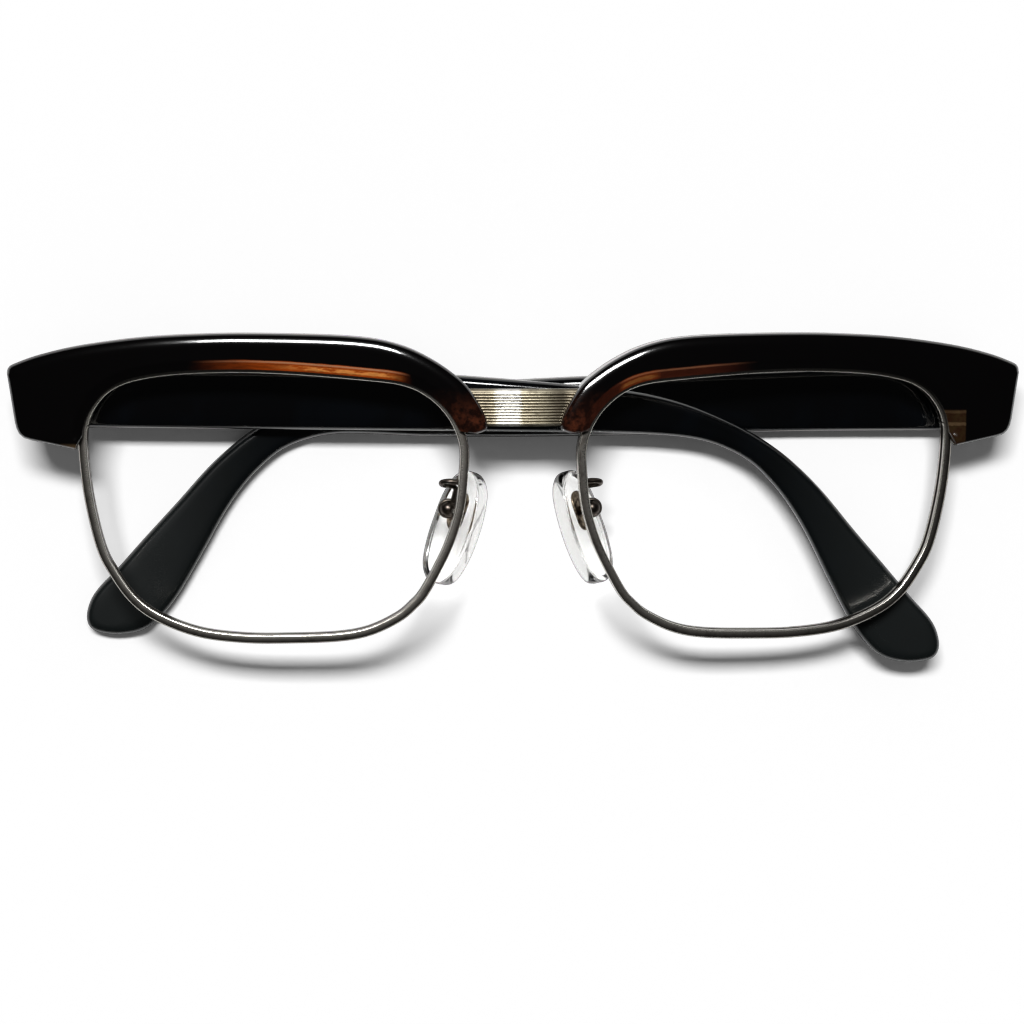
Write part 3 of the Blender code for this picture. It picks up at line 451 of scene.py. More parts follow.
class Bench:
    # a node tree being wired
    def __init__(self, tree):
        self.tree = tree

    def add(self, kind, values=None, settings=None, out=0):
        node = self.tree.nodes.new(kind)
        for name, value in (settings or {}).items():
            setattr(node, name, value)
        for name, value in (values or {}).items():
            socket = node.inputs[name]
            if isinstance(value, Wire):
                self.tree.links.new(value.socket, socket)
            else:
                socket.default_value = value
        return Wire(self.tree, node.outputs[out]) if len(node.outputs) else None

    def mix(self, factor, first, second):
        # colours; the Mix node's colour sockets are numbers 6 and 7
        first, second = ((*each, 1) if isinstance(each, tuple) else each for each in (first, second))
        return self.add("ShaderNodeMix", {0: factor, 6: first, 7: second}, {"data_type": "RGBA"}, 2)

    def fade(self, value, low, high):
        # 0 below low to 1 above high
        values = {0: value, 1: low, 2: high, 3: 0.0, 4: 1.0}
        return self.add("ShaderNodeMapRange", values, {"interpolation_type": "SMOOTHSTEP"})


def newFinish(name):
    finish = bpy.data.materials.new(name)
    finish.use_nodes = True
    finish.node_tree.nodes.clear()
    return finish, Bench(finish.node_tree)


def surface(bench, values):
    bench.add("ShaderNodeOutputMaterial", {"Surface": bench.add("ShaderNodeBsdfPrincipled", values)})


# outputs of the Texture Coordinate and Geometry nodes
generatedOut, objectOut, backfacingOut = 0, 3, 6


def inMillimetres(bench, scale=(1, 1, 1)):
    # Object coordinates in millimetres
    spot = bench.add("ShaderNodeTexCoord", out=objectOut)
    return bench.add("ShaderNodeMapping", {"Vector": spot, "Scale": tuple(part / mm for part in scale)})


def bumped(bench, height, distance, strength):
    values = {"Height": height, "Distance": distance * mm, "Strength": strength}
    return bench.add("ShaderNodeBump", values)


def pieceTree(name, wanted):
    # a Geometry Nodes tree that asks for its piece's geometry and for what is wanted
    tree = bpy.data.node_groups.new(name, "GeometryNodeTree")
    tree.interface.new_socket("Geometry", in_out="INPUT", socket_type="NodeSocketGeometry")
    for label, (kind, _) in wanted.items():
        tree.interface.new_socket(label, in_out="INPUT", socket_type="NodeSocket" + kind)
    tree.interface.new_socket("Geometry", in_out="OUTPUT", socket_type="NodeSocketGeometry")
    given = tree.nodes.new("NodeGroupInput")
    return Bench(tree), {socket.name: Wire(tree, socket) for socket in given.outputs if socket.name}


def grown(piece, bench, shapes, wanted):
    # joins the shapes, ends the tree and makes its result the piece's mesh
    tree = bench.tree
    join = tree.nodes.new("GeometryNodeJoinGeometry")
    for shape in shapes:
        tree.links.new(shape.socket, join.inputs[0])
    whole = bench.add("GeometryNodeRealizeInstances", {"Geometry": Wire(tree, join.outputs[0])})
    bench.add("NodeGroupOutput", {"Geometry": whole})
    maker = piece.modifiers.new("grown", "NODES")
    maker.node_group = tree
    for socket in tree.interface.items_tree:
        if socket.name in wanted:
            maker[socket.identifier] = wanted[socket.name][1]
    return settled(piece)


# the camera stands where the photographer's stood
pictureWide = 1024.0
cameraSetup = {
    "turn": -4.37,  # degrees round the upright axis
    "lift": 5.66,  # degrees above level
    "roll": -0.06,
    "distance": 0.330,
    "aimX": -0.0010,
    "aimZ": 0.0221,
    "focus": 2334.0,  # in pixels of the picture
}


def makeCamera(setup):
    data = bpy.data.cameras.new("photoCamera")
    data.sensor_width = 36.0
    data.lens = setup["focus"] / pictureWide * data.sensor_width
    data.clip_start = 0.01
    data.clip_end = 10.0
    camera = placed("photoCamera", data)
    turn = Matrix.Rotation(math.radians(setup["turn"]), 4, "Z")
    lift = Matrix.Rotation(math.radians(-setup["lift"]), 4, "X")
    roll = Matrix.Rotation(math.radians(setup["roll"]), 4, "Y")
    facing = turn @ lift @ roll
    forward = facing @ Vector((0, 1, 0))
    spot = Vector((setup["aimX"], 0, setup["aimZ"])) - forward * setup["distance"]
    camera.matrix_world = Matrix.Translation(spot) @ facing @ Matrix.Rotation(math.pi / 2, 4, "X")
    bpy.context.scene.camera = camera


makeCamera(cameraSetup)
bpy.context.scene.view_settings.view_transform = "Standard"
print("camera placed")

browMake = {
    "edgeRise": 0.5,  # the rim shows below the front edge by this much
    "topRoll": 0.5,
    "topEase": (1.7, 0.43),  # how far the soft slope under the top edge reaches, and how deep it is
    "sideRoll": 0.7,
    "backRoll": 0.5,
    "chamferTall": 1.25,
    "chamferDeep": 0.9,
    "lip": 1.5,
    "seat": 0.3,
    "noseDrop": 0.2,  # the line over the eye ends this far above the nose end
    "heel": (0.2, -2.0),  # from the rim's outer side and the end piece's lower edge
    "endCurve": ((-3.2, -0.75), (-2.2, -0.45), (-1.55, 0.1), (-1.2, 0.85), (-1.0, 1.7)),
    "shoulder": (57.2, 34.3),  # where the line over the eye turns down the end piece
    "turn": (60.4, 38),  # where the upper line turns down it, and the height it keeps above
    "stations": (190, 110),  # rows of points before the shoulder and after it
    "fromLow": (0, 0.1, 0.28, 0.52, 0.8, 1.05, 1.2, 1.3, 1.45, 1.75, 2.1),
    "fromHigh": (0, 0.02, 0.06, 0.12, 0.2, 0.3, 0.42, 0.54, 0.68, 0.82, 0.98, 1.16, 1.36, 1.6, 1.9),
    "innerRows": 6,
    "heelFade": 3.0,  # the chamfer grows from the heel over this length
    "room": 0.3,  # between a cut and what it makes room for
    "landReach": 4.6,  # the flat for the hinge starts this far inwards of its screw
    "slotDeep": 6.5,  # how far back the slot for the bridge's end reaches
    "pocket": (3.6, 2.9),  # for the closing block: how far out, and how far over the split
    "leaf": (2.6, 3.0, 1.2),  # for the hinge leaf: half its width, half its height, and how deep
    "beyond": 2.0,  # how far a cut runs past the piece
}


def atPlace(x, y, z):
    return Vector((x, y + shiftY, z + shiftZ)) * mm


def browLines(setup):
    # the lower line from the nose over the eye to the end piece, and the upper one beside it
    ring = offsetRing(eyeRing(), setup["edgeRise"])
    noseLow = Vector((browShares[-1][0] * halfFront, browShares[-1][1] * browTop))
    over = []
    for point in ring:
        if point.x < halfBridge + front["eyeWidth"] / 2 and point.y < noseLow.y + setup["noseDrop"]:
            break
        over.append(point)
    over.reverse()
    endLow = eyeTop - front["endDrop"]
    out, down = setup["heel"]
    heel = Vector((halfBridge + front["eyeWidth"] + front["rimWidth"] + out, endLow + down))
    corner = Vector((halfFront, endLow))
    under = [heel] + [corner + Vector(step) for step in setup["endCurve"]]
    upper = smoothThrough([(x * halfFront, z * browTop) for x, z in browShares[:-1]], False, 6)
    upper.reverse()
    return over, under, upper, noseLow


def makeBrow(setup):
    over, under, upper, noseLow = browLines(setup)
    corner = Vector(setup["shoulder"])
    shoulder = min(range(len(over)), key=lambda i: (over[i] - corner).length)
    turnX, turnLow = setup["turn"]
    turn = min((i for i in range(len(upper)) if upper[i].y > turnLow), key=lambda i: abs(upper[i].x - turnX))
    before, after = setup["stations"]
    lowLine = stepsAlong(over[:shoulder + 1], before) + stepsAlong(over[shoulder:] + under, after)[1:]
    highLine = stepsAlong(upper[:turn + 1], before) + stepsAlong(upper[turn:], after)[1:]
    grid = rowsBetween(lowLine, highLine, setup["fromLow"], setup["fromHigh"], setup["innerRows"], 0.42)
    flat = [(p.x, p.y) for row in grid for p in row]
    toEye = distanceTo(flat, over)
    toTop = distanceTo(flat, upper)
    toSide = distanceTo(flat, [over[-1]] + under + [upper[-1]])
    toTip = distanceTo(flat, [over[0], noseLow, upper[0]])
    toSide = np.minimum(toSide, toTip)
    fromHeel = np.linalg.norm(np.array(flat) - np.array(under[0]), axis=1)
    chamfer = setup["chamferDeep"] * np.clip(1 - toEye / setup["chamferTall"], 0, 1)
    chamfer *= np.clip(fromHeel / setup["heelFade"], 0, 1)
    reach, deep = setup["topEase"]
    eased = rolled(toTop, setup["topRoll"]) + deep * np.clip(1 - toTop / reach, 0, 1) ** 2
    faceDepth = blended(eased, rolled(toSide, setup["sideRoll"]), chamfer)
    edge = np.minimum(np.minimum(toTop, toSide), toEye)
    backDepth = front["browDepth"] - rolled(edge, setup["backRoll"])
    shape = (len(grid), len(grid[0]))
    piece = gridShell("browRight", grid, faceDepth.reshape(shape), backDepth.reshape(shape), atFront, 4)

    ring = eyeRing(4)
    seat = front["rimWidth"] + setup["seat"]
    lip = setup["lip"]
    channel = sweptRing("channel", ring, [(-2, lip), (seat, lip), (seat, 7), (-2, 7)], atFront)
    room, past = setup["room"], setup["beyond"]
    landY = sag(hingeX) + front["browDepth"]
    bridgeHigh = splitHeight + bridgeMake["height"]
    noseSide = [p.x for p in offsetRing(ring, front["rimWidth"])
                if p.x < noseSideX and splitHeight < p.y < bridgeHigh]
    inner = halfBridge + front["eyeWidth"] + front["rimWidth"]
    blockFront = sag(hingeX) + front["rimSetback"]
    pocketOut, pocketUp = setup["pocket"]
    wide, tall, deep = setup["leaf"]
    cuts = {
        "land": ((hingeX - setup["landReach"], landY, 0), (halfFront + past, landY + 5, browTop + past)),
        "slot": ((0, lip, splitHeight - room), (max(noseSide), setup["slotDeep"], bridgeHigh + room)),
        "pocket": (
            (inner - room, blockFront - room, 0), (inner + pocketOut, landY + past, splitHeight + pocketUp),
        ),
        "leaf": (
            (hingeX - wide, landY - deep, hingeZ - tall), (hingeX + wide, landY + past, hingeZ + tall),
        ),
    }
    blocks = [blockPiece(name, atPlace(*low), atPlace(*high)) for name, (low, high) in cuts.items()]
    cut(piece, [channel] + blocks)
    pointField(piece, "eyeGap", distanceTo(flatSpots(piece)[0], over))  # for the amber along the front edge
    return piece


rimMake = {
    "gap": 0.2,
    "groove": (0.4, 0.9),
    "cornerRadius": (0.3, 0.25, 0.15, 0.2),
    "lighterEdgeReach": (0.5, 0.35),  # how far the lighter edge, worn silver and a painted highlight, reaches from an edge, backwards and outwards
}


def rimSection(setup):
    # the section in (outwards, backwards), with its outer edges rounded and a groove for the lens
    wide, low = front["rimWidth"], front["rimSetback"]
    high = low + front["rimDepth"]
    deep, tall = setup["groove"]
    middle = (low + high) / 2
    outFront, outBack, inBack, inFront = setup["cornerRadius"]
    section = []

    def corner(x, y, radius, start):
        for k in range(6):
            turn = math.radians(start + 18 * k)
            section.append((x + radius * math.cos(turn), y + radius * math.sin(turn)))

    corner(wide - outFront, low + outFront, outFront, -90)
    corner(wide - outBack, high - outBack, outBack, 0)
    corner(inBack, high - inBack, inBack, 90)
    grooveLow, grooveHigh = middle - tall / 2, middle + tall / 2
    section += [(0, grooveHigh), (deep, grooveHigh), (deep, grooveLow), (0, grooveLow)]
    corner(inFront, low + inFront, inFront, 180)
    return section


def makeRim(setup):
    ring = eyeRing(8)
    piece = sweptRing("rimRight", ring, rimSection(setup), atFront, splitHeight, setup["gap"])
    flat, spots = flatSpots(piece)
    out = distanceTo(flat, ring + ring[:1])
    toFront = spots[:, 1] - shiftY - sag(flat[:, 0]) - front["rimSetback"]
    toFace = np.minimum(toFront, front["rimDepth"] - toFront)
    toSide = np.minimum(np.abs(out), np.abs(front["rimWidth"] - out))
    back, wide = setup["lighterEdgeReach"]
    # 1 on the rounded edges, 0 in the flats: partly worn silver, partly a painted highlight on the edges
    wornAndHighlitEdge = np.clip(1 - toFace / back, 0, 1) * np.clip(1 - toSide / wide, 0, 1)
    pointField(piece, "wearAndEdgeHighlight", wornAndHighlitEdge)
    return piece


bridgeMake = {
    "height": 5.1,
    "thickness": 1.4,
    "bow": 0.6,  # how far the middle stands forward
    "bowReach": 5.8,
    "edgeRoll": 0.3,
    "rows": 12,
    "columns": 48,
    "ridges": 11,
    "pitch": 0.405,
    "ridgeRadius": 0.21,
    "ridgeReach": 8.4,
    "ridgeSink": 0.06,  # how far a ridge's middle lies behind the plate's face
    "margin": 0.42,
}


def makeBridge(setup):
    low, high = splitHeight, splitHeight + setup["height"]
    ring = offsetRing(eyeRing(8), front["rimWidth"] + 0.3)
    side = sorted((p.y, p.x) for p in ring if p.x < noseSideX and p.y > eyeMiddle)
    rows, columns = setup["rows"], setup["columns"]
    heights = [low + (high - low) * k / rows for k in range(rows + 1)]
    edges = np.interp(heights, [z for z, x in side], [x for z, x in side])
    across = [2 * i / columns - 1 for i in range(columns + 1)]
    grid = [[Vector((reach * share, z)) for share in across] for z, reach in zip(heights, edges)]
    bow = [[setup["bow"] * max(0, 1 - (p.x / setup["bowReach"]) ** 2) for p in row] for row in grid]
    rounding = rolled(np.array([min(z - low, high - z) for z in heights]), setup["edgeRoll"])
    top = front["rimSetback"] + rounding[:, None] - np.array(bow)
    back = front["rimSetback"] + setup["thickness"] - np.array(bow)
    piece = gridShell("bridgePlate", grid, top, back, atFront, 2)

    wanted = {
        "Ridges": ("Int", setup["ridges"]),
        "Pitch": ("Float", setup["pitch"] * mm),
        "Radius": ("Float", setup["ridgeRadius"] * mm),
        "Half Width": ("Float", setup["ridgeReach"] * mm),
        "Bow": ("Float", setup["bow"] * mm),
        "First Height": ("Float", (high - setup["margin"] - setup["pitch"] / 2 + shiftZ) * mm),
        "Depth": ("Float", (front["rimSetback"] + shiftY + setup["ridgeSink"]) * mm),
    }
    bench, ask = pieceTree("ridgesOnPlate", wanted)
    start = bench.add("ShaderNodeCombineXYZ", {0: ask["Half Width"] * -1.0})
    stop = bench.add("ShaderNodeCombineXYZ", {0: ask["Half Width"]})
    line = bench.add("GeometryNodeCurvePrimitiveLine", {"Start": start, "End": stop})
    line = bench.add("GeometryNodeResampleCurve", {"Curve": line, "Count": 41})
    share = apart(bench, bench.add("GeometryNodeInputPosition"))[0] / (setup["bowReach"] * mm)
    bowed = 1.0 - share * share
    bowed = bowed.maths("MAXIMUM", bowed, 0.0) * ask["Bow"] * -1.0
    moved = bench.add("ShaderNodeCombineXYZ", {1: bowed})
    line = bench.add("GeometryNodeSetPosition", {"Geometry": line, "Offset": moved})
    profile = bench.add("GeometryNodeCurvePrimitiveCircle", {"Resolution": 12, "Radius": ask["Radius"]})
    values = {"Curve": line, "Profile Curve": profile, "Fill Caps": True}
    bar = bench.add("GeometryNodeCurveToMesh", values)
    first = bench.add("ShaderNodeCombineXYZ", {1: ask["Depth"], 2: ask["First Height"]})
    step = bench.add("ShaderNodeCombineXYZ", {2: ask["Pitch"] * -1.0})
    values = {"Count": ask["Ridges"], "Start Location": first, "Offset": step}
    spots = bench.add("GeometryNodeMeshLine", values, {"mode": "OFFSET"})
    bars = bench.add("GeometryNodeInstanceOnPoints", {"Points": spots, "Instance": bar})
    return grown(piece, bench, [bars, ask["Geometry"]], wanted)


templeMake = {
    "reach": 125.5,
    "fall": 40.9,
    "topShare": 0.886,
    "thickness": 4.0,
    "taper": 1.0,
    "taperShare": 0.6,
    "roll": 1.05,
    "butt": -1.3,
    "leaf": (0.9, 4.1, 5.4),
    "tilt": {"Right": -0.8, "Left": 0.8},
    "fold": {"Right": 88.6, "Left": 92.0},
    # how far each is bent from the drawing: its edges at the hinge and mid-way, the tip's rise and reach
    "bend": {
        "Right": {"upper": (-0.25, -1.45), "lower": (-1.3, -2.9), "tip": (0.8, 0.45)},
        "Left": {"upper": (0.0, 0.45), "lower": (-0.4, -0.1), "tip": (0.0, 0.55)},
    },
    # where along the temple the bend goes from the hinge to mid-way, and from there to the tip
    "bendReach": {"upper": ((0.0, 0.38), (0.55, 0.92)), "lower": ((0.0, 0.6), (0.6, 0.95))},
    "tipStart": 0.75,
    "tipNumber": 22,  # the drawing's point at the end of the tip, where the upper edge ends
    "stations": 260,
    "innerRows": 5,
}


def eased(value, low, high):
    share = min(1, max(0, (value - low) / (high - low)))
    return share * share * (3 - 2 * share)


def templeSpot(number, setup, side):
    x, z = templeShares[number]
    along = setup["butt"] + x * setup["reach"]
    up = browTop * setup["topShare"] - hingeZ - (1 - z) * setup["fall"]
    edge = "upper" if number < setup["tipNumber"] else "lower"
    atHinge, midWay = setup["bend"][side][edge]
    tipRise, tipReach = setup["bend"][side]["tip"]
    early, late = setup["bendReach"][edge]
    bent = atHinge + (midWay - atHinge) * eased(x, *early)
    up += bent + (tipRise - bent) * eased(x, *late)
    along += tipReach * eased(x, setup["tipStart"], 1.0)
    return Matrix.Rotation(math.radians(-setup["tilt"][side]), 2) @ Vector((along, up))


def makeTemple(side, setup):
    steps = 8
    line = [templeSpot(number, setup, side) for number in range(len(templeShares))]
    line = smoothThrough(line, False, steps)
    line[0].x = line[-1].x = setup["butt"]
    end = setup["tipNumber"] * steps
    upper = stepsAlong(line[:end + 1], setup["stations"])
    lower = stepsAlong(list(reversed(line[end:])), setup["stations"])
    roll = setup["roll"]
    fromEdge = [roll * (1 - math.cos(math.radians(turn))) for turn in range(0, 91, 15)]
    grid = rowsBetween(lower, upper, fromEdge, fromEdge, setup["innerRows"], 0.4)
    flat = np.array([(p.x, p.y) for row in grid for p in row])
    edge = distanceTo(flat, line)
    butt = np.maximum(flat[:, 0] - setup["butt"], 0)
    inner = front["hingeOffset"]
    outer = inner + setup["thickness"]
    buttRoll = 0.4
    share = np.clip(flat[:, 0] / (setup["reach"] * setup["taperShare"]), 0, 1)
    rounding = blended(rolled(edge, roll), rolled(butt, buttRoll))
    shape = (len(grid), len(grid[0]))
    outside = (outer - rounding).reshape(shape)
    inside = (inner + setup["taper"] * share + rounding).reshape(shape)
    piece = gridShell(
        "temple" + side, grid, outside, inside, lambda along, up, x: Vector((x, along, up)) * mm, 3
    )
    # the recess of the hinge leaf, with room round it
    room = 0.3
    start = room - front["hingeOffset"]
    thick, reach, tall = setup["leaf"]
    low = Vector((0, start - 2, -tall / 2 - room))
    high = Vector((inner + thick + room, start + reach + 2 * room, tall / 2 + room))
    cut(piece, [blockPiece("recess", low * mm, high * mm)])
    sign = sides[side]
    if sign < 0:
        piece.data.transform(Matrix.Scale(-1, 4, (1, 0, 0)))
        piece.data.flip_normals()
    pointField(piece, "tip", flatSpots(piece)[1][:, 1] / setup["reach"])
    turn = Matrix.Rotation(math.radians(setup["fold"][side] * sign), 4, "Z")
    hinge = Vector(joints[side.lower() + "_temple_fold"]["pos_m"])
    piece.data.transform(Matrix.Translation(hinge) @ turn)
    return piece


padMake = {
    "length": 16.4,
    "width": 8.7,
    "thickness": 2.4,
    "climb": 2.4,
    "splay": 19.0,
    "faceTurn": 8.0,  # degrees that the pad shows more of its face
    "shares": (0.0, 0.25, 0.45, 0.6, 0.7, 0.745, 0.78, 0.81, 0.84, 0.87, 0.9, 0.93, 0.955, 0.975, 0.99, 1.0),
    "lensRoll": 0.5,
    "noseRoll": 0.8,
    "boxRadius": 1.4,
    "boxLift": 0.15,  # between the pad and its box
    "inward": (-1.2, 0.0, 0.3),  # from the joint to the ball, in the drawing's right half
    "insert": (3.2, 5.8),
    # the insert's outline, layer by layer: how far inwards, and its depth from the pad's face
    "insertRings": ((0.35, -0.6), (0.0, -0.6), (0.0, -0.3), (0.12, -0.18), (0.4, -0.14)),
    "ear": (0.3, 0.65),  # half the thickness and the radius of the upright ear that the box holds
    "armRadius": 0.36,
    "neckRadius": 0.45,
    "rootRise": 3.8,
    # the arm's way from the back of the rim, and its last points from the ball
    "fromRoot": (
        (0, -0.6, -0.25), (0.25, 0.4, 0), (1.1, 0.8, 0.22), (2.1, 1.0, 0.22), (2.75, 1.5, 0.02),
        (2.6, 2.2, -0.3), (1.7, 2.6, -0.5), (0.85, 2.9, -0.75), (0.75, 3.15, -1.5),
    ),
    "fromBall": ((-0.75, -0.1, 1.15), (-0.2, 0, 0.4)),
    "collar": (0.22, 0.24),  # how far it lies inside the box's radius, and its thickness
}


def padPlace(setup):
    # local X across the pad, Y up its length, Z out towards the lens
    joint = joints["right_pad_rock"]
    across = Vector(joint["axis"]).normalized()
    splay = math.radians(setup["splay"])
    down = Vector((math.sin(splay), 0, -math.cos(splay)))
    out = across.cross(down).normalized()
    if out.x < 0:
        out = -out
    face = math.radians(setup["faceTurn"])
    ahead = out
    out = out * math.cos(face) - across * math.sin(face)
    across = across * math.cos(face) + ahead * math.sin(face)
    high = setup["thickness"] / 2 + setup["boxLift"] + setup["boxRadius"]
    ball = Vector(joint["pos_m"]) + Vector(setup["inward"]) * mm
    centre = ball + (down * setup["climb"] - out * high) * mm
    turn = Matrix((across, -down, out)).transposed().to_4x4()
    if turn.determinant() < 0:
        turn = Matrix((-across, -down, out)).transposed().to_4x4()
    return Matrix.Translation(centre) @ turn, high


def makePad(setup):
    place, high = padPlace(setup)
    ring = smoothThrough([(x * setup["width"], y * setup["length"]) for x, y in padShares], True, 6)
    half = setup["thickness"] / 2
    closedRing = ring + ring[:1]
    shares = setup["shares"]
    count = len(ring)
    points = []
    faces = []
    flat = [(p.x * s, p.y * s) for s in shares[1:] for p in ring]
    edge = distanceTo(flat, closedRing)
    lensDepth = half - rolled(edge, setup["lensRoll"]) - 0.3 * np.clip((edge - 0.75) / 0.25, 0, 1)
    noseDepth = -half + rolled(edge, setup["noseRoll"]) - 0.1 * np.clip(edge / 3.4, 0, 1)
    for depths in (lensDepth, noseDepth):
        base = len(points)
        points.append(Vector((0, 0, depths[:count].mean())))
        for (x, y), z in zip(flat, depths):
            points.append(Vector((x, y, z)))
        for k in range(count):
            n = (k + 1) % count
            faces.append((base, base + 1 + k, base + 1 + n))
            for r in range(len(shares) - 2):
                a = base + 1 + r * count
                faces.append((a + k, a + count + k, a + count + n, a + n))
    top = 1 + (len(shares) - 2) * count
    bottom = len(points) // 2 + top
    for k in range(count):
        n = (k + 1) % count
        faces.append((top + k, bottom + k, bottom + n, top + n))
    return meshPiece("nosePadRight", [place @ (p * mm) for p in points], faces, 0.000001)


def makeInsert(setup):
    place, high = padPlace(setup)
    wide, long = setup["insert"]
    half = setup["thickness"] / 2
    centre = Vector((0, setup["climb"]))
    ring = []
    for x, y in circle(40):
        straight = (long - wide) / 2 * (1 if y >= 0 else -1)
        ring.append(Vector((x * wide / 2, setup["climb"] + straight + y * wide / 2)))
    points = []
    for out, depth in setup["insertRings"]:
        for p in ring:
            moved = p + (centre - p).normalized() * out
            points.append(place @ (Vector((*moved, half + depth)) * mm))
    piece = meshPiece("padInsertRight", points, ringFaces(len(setup["insertRings"]), len(ring)), 0.000001)
    thin, radius = setup["ear"]
    points = []
    for x in (-thin, thin):
        for y, z in circle(24):
            depth = high + z * radius if z > 0 else half - 0.3
            points.append(place @ (Vector((x, setup["climb"] + y * radius, depth)) * mm))
    return joined([piece, meshPiece("ear", points, ringFaces(2, 24), 0.000001)])


def joined(pieces):
    work = bmesh.new()
    for piece in pieces:
        work.from_mesh(piece.data)
    work.to_mesh(pieces[0].data)
    work.free()
    for piece in pieces[1:]:
        bpy.data.objects.remove(piece, do_unlink=True)
    return pieces[0]


def ringMesh(name, radius, thick, place):
    # a round collar, lying across the local Z axis
    points = []
    for x, y in circle(48):
        for out, up in circle(14):
            reach = radius + thick * out
            points.append(place @ (Vector((reach * x, reach * y, thick * up * 1.5)) * mm))
    return meshPiece(name, points, ringFaces(48, 14, True), 0.000001)


def makeArm(setup):
    # a flat loop of wire from the back of the rim, and the box at its end that holds the pad
    place, high = padPlace(setup)
    centre = Vector((0, setup["climb"], high))
    ball = (place @ (centre * mm)) / mm
    ring = offsetRing(eyeRing(8), front["rimWidth"] / 2)
    nose = sorted((p.y, p.x) for p in ring if p.x < noseSideX and 12 < p.y < 34)
    rootZ = ball.z + setup["rootRise"]
    rootX = float(np.interp(rootZ - shiftZ, [z for z, x in nose], [x for z, x in nose]))
    rootY = front["rimSetback"] + front["rimDepth"] + sag(rootX) + shiftY
    line = [(rootX + x, rootY + y, rootZ + z) for x, y, z in setup["fromRoot"]]
    line += [(ball.x + x, ball.y + y, ball.z + z) for x, y, z in setup["fromBall"]]
    points = smoothThrough([Vector(p) * mm for p in line], False, 8)
    piece = tubeMesh("padArmRight", points, setup["armRadius"] * mm)
    neck = tubeMesh("neck", points[-17:], setup["neckRadius"] * mm)
    work = bmesh.new()
    bmesh.ops.create_uvsphere(work, u_segments=40, v_segments=24, radius=(setup["boxRadius"] - 0.2) * mm)
    mesh = bpy.data.meshes.new("ball")
    work.to_mesh(mesh)
    work.free()
    inPlace = place @ Matrix.Translation(centre * mm)
    mesh.transform(inPlace)
    slot = blockPiece("slot", Vector((-0.5, -2.5, -3.0)) * mm, Vector((0.5, 2.5, 0.7)) * mm)
    slot.data.transform(inPlace)
    box = cut(placed("ball", mesh), [slot])
    inset, thick = setup["collar"]
    facing = Matrix.Translation(ball * mm) @ Matrix.Rotation(math.radians(90), 4, "X")
    return joined([piece, neck, box, ringMesh("collar", setup["boxRadius"] - inset, thick, facing)])


screwMake = {
    # node: (way the head faces, head radius, head height, shaft radius)
    "brow_screw_inner_right": ((0, 1, 0), 0.8, 0.5, 0.45),
    "brow_screw_outer_right": ((0, 1, 0), 0.8, 0.5, 0.45),
    "closing_screw_right": ((0, 0, -1), 0.8, 0.6, 0.45),
    "hinge_screw_right": ((0, 0, 1), 1.0, 0.5, 0.55),
    "pad_screw_right": (None, 0.6, 0.4, 0.28),
}


def screwSpots(setup):
    # the seat of every head, the way it faces, and its sizes, for both sides
    found = []
    for name, (facing, radius, height, shaft) in setup.items():
        low, high = (Vector(corner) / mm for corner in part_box(name))
        if facing is None:
            box, lift = padPlace(padMake)
            facing = (box.to_3x3() @ Vector((1, 0, 0))).normalized()
            length = 3.2
            seat = box @ (Vector((0, padMake["climb"], lift)) * mm) / mm + facing * (length / 2 - height)
        else:
            facing = Vector(facing)
            length = max(abs(facing.dot(high - low)), 0.1)
            seat = (low + high) / 2 + facing * (length / 2 - height)
        for side in (1, -1):
            flip = Vector((side, 1, 1))
            found.append((seat * flip * mm, facing * flip, radius, height, shaft, length - height))
    return found


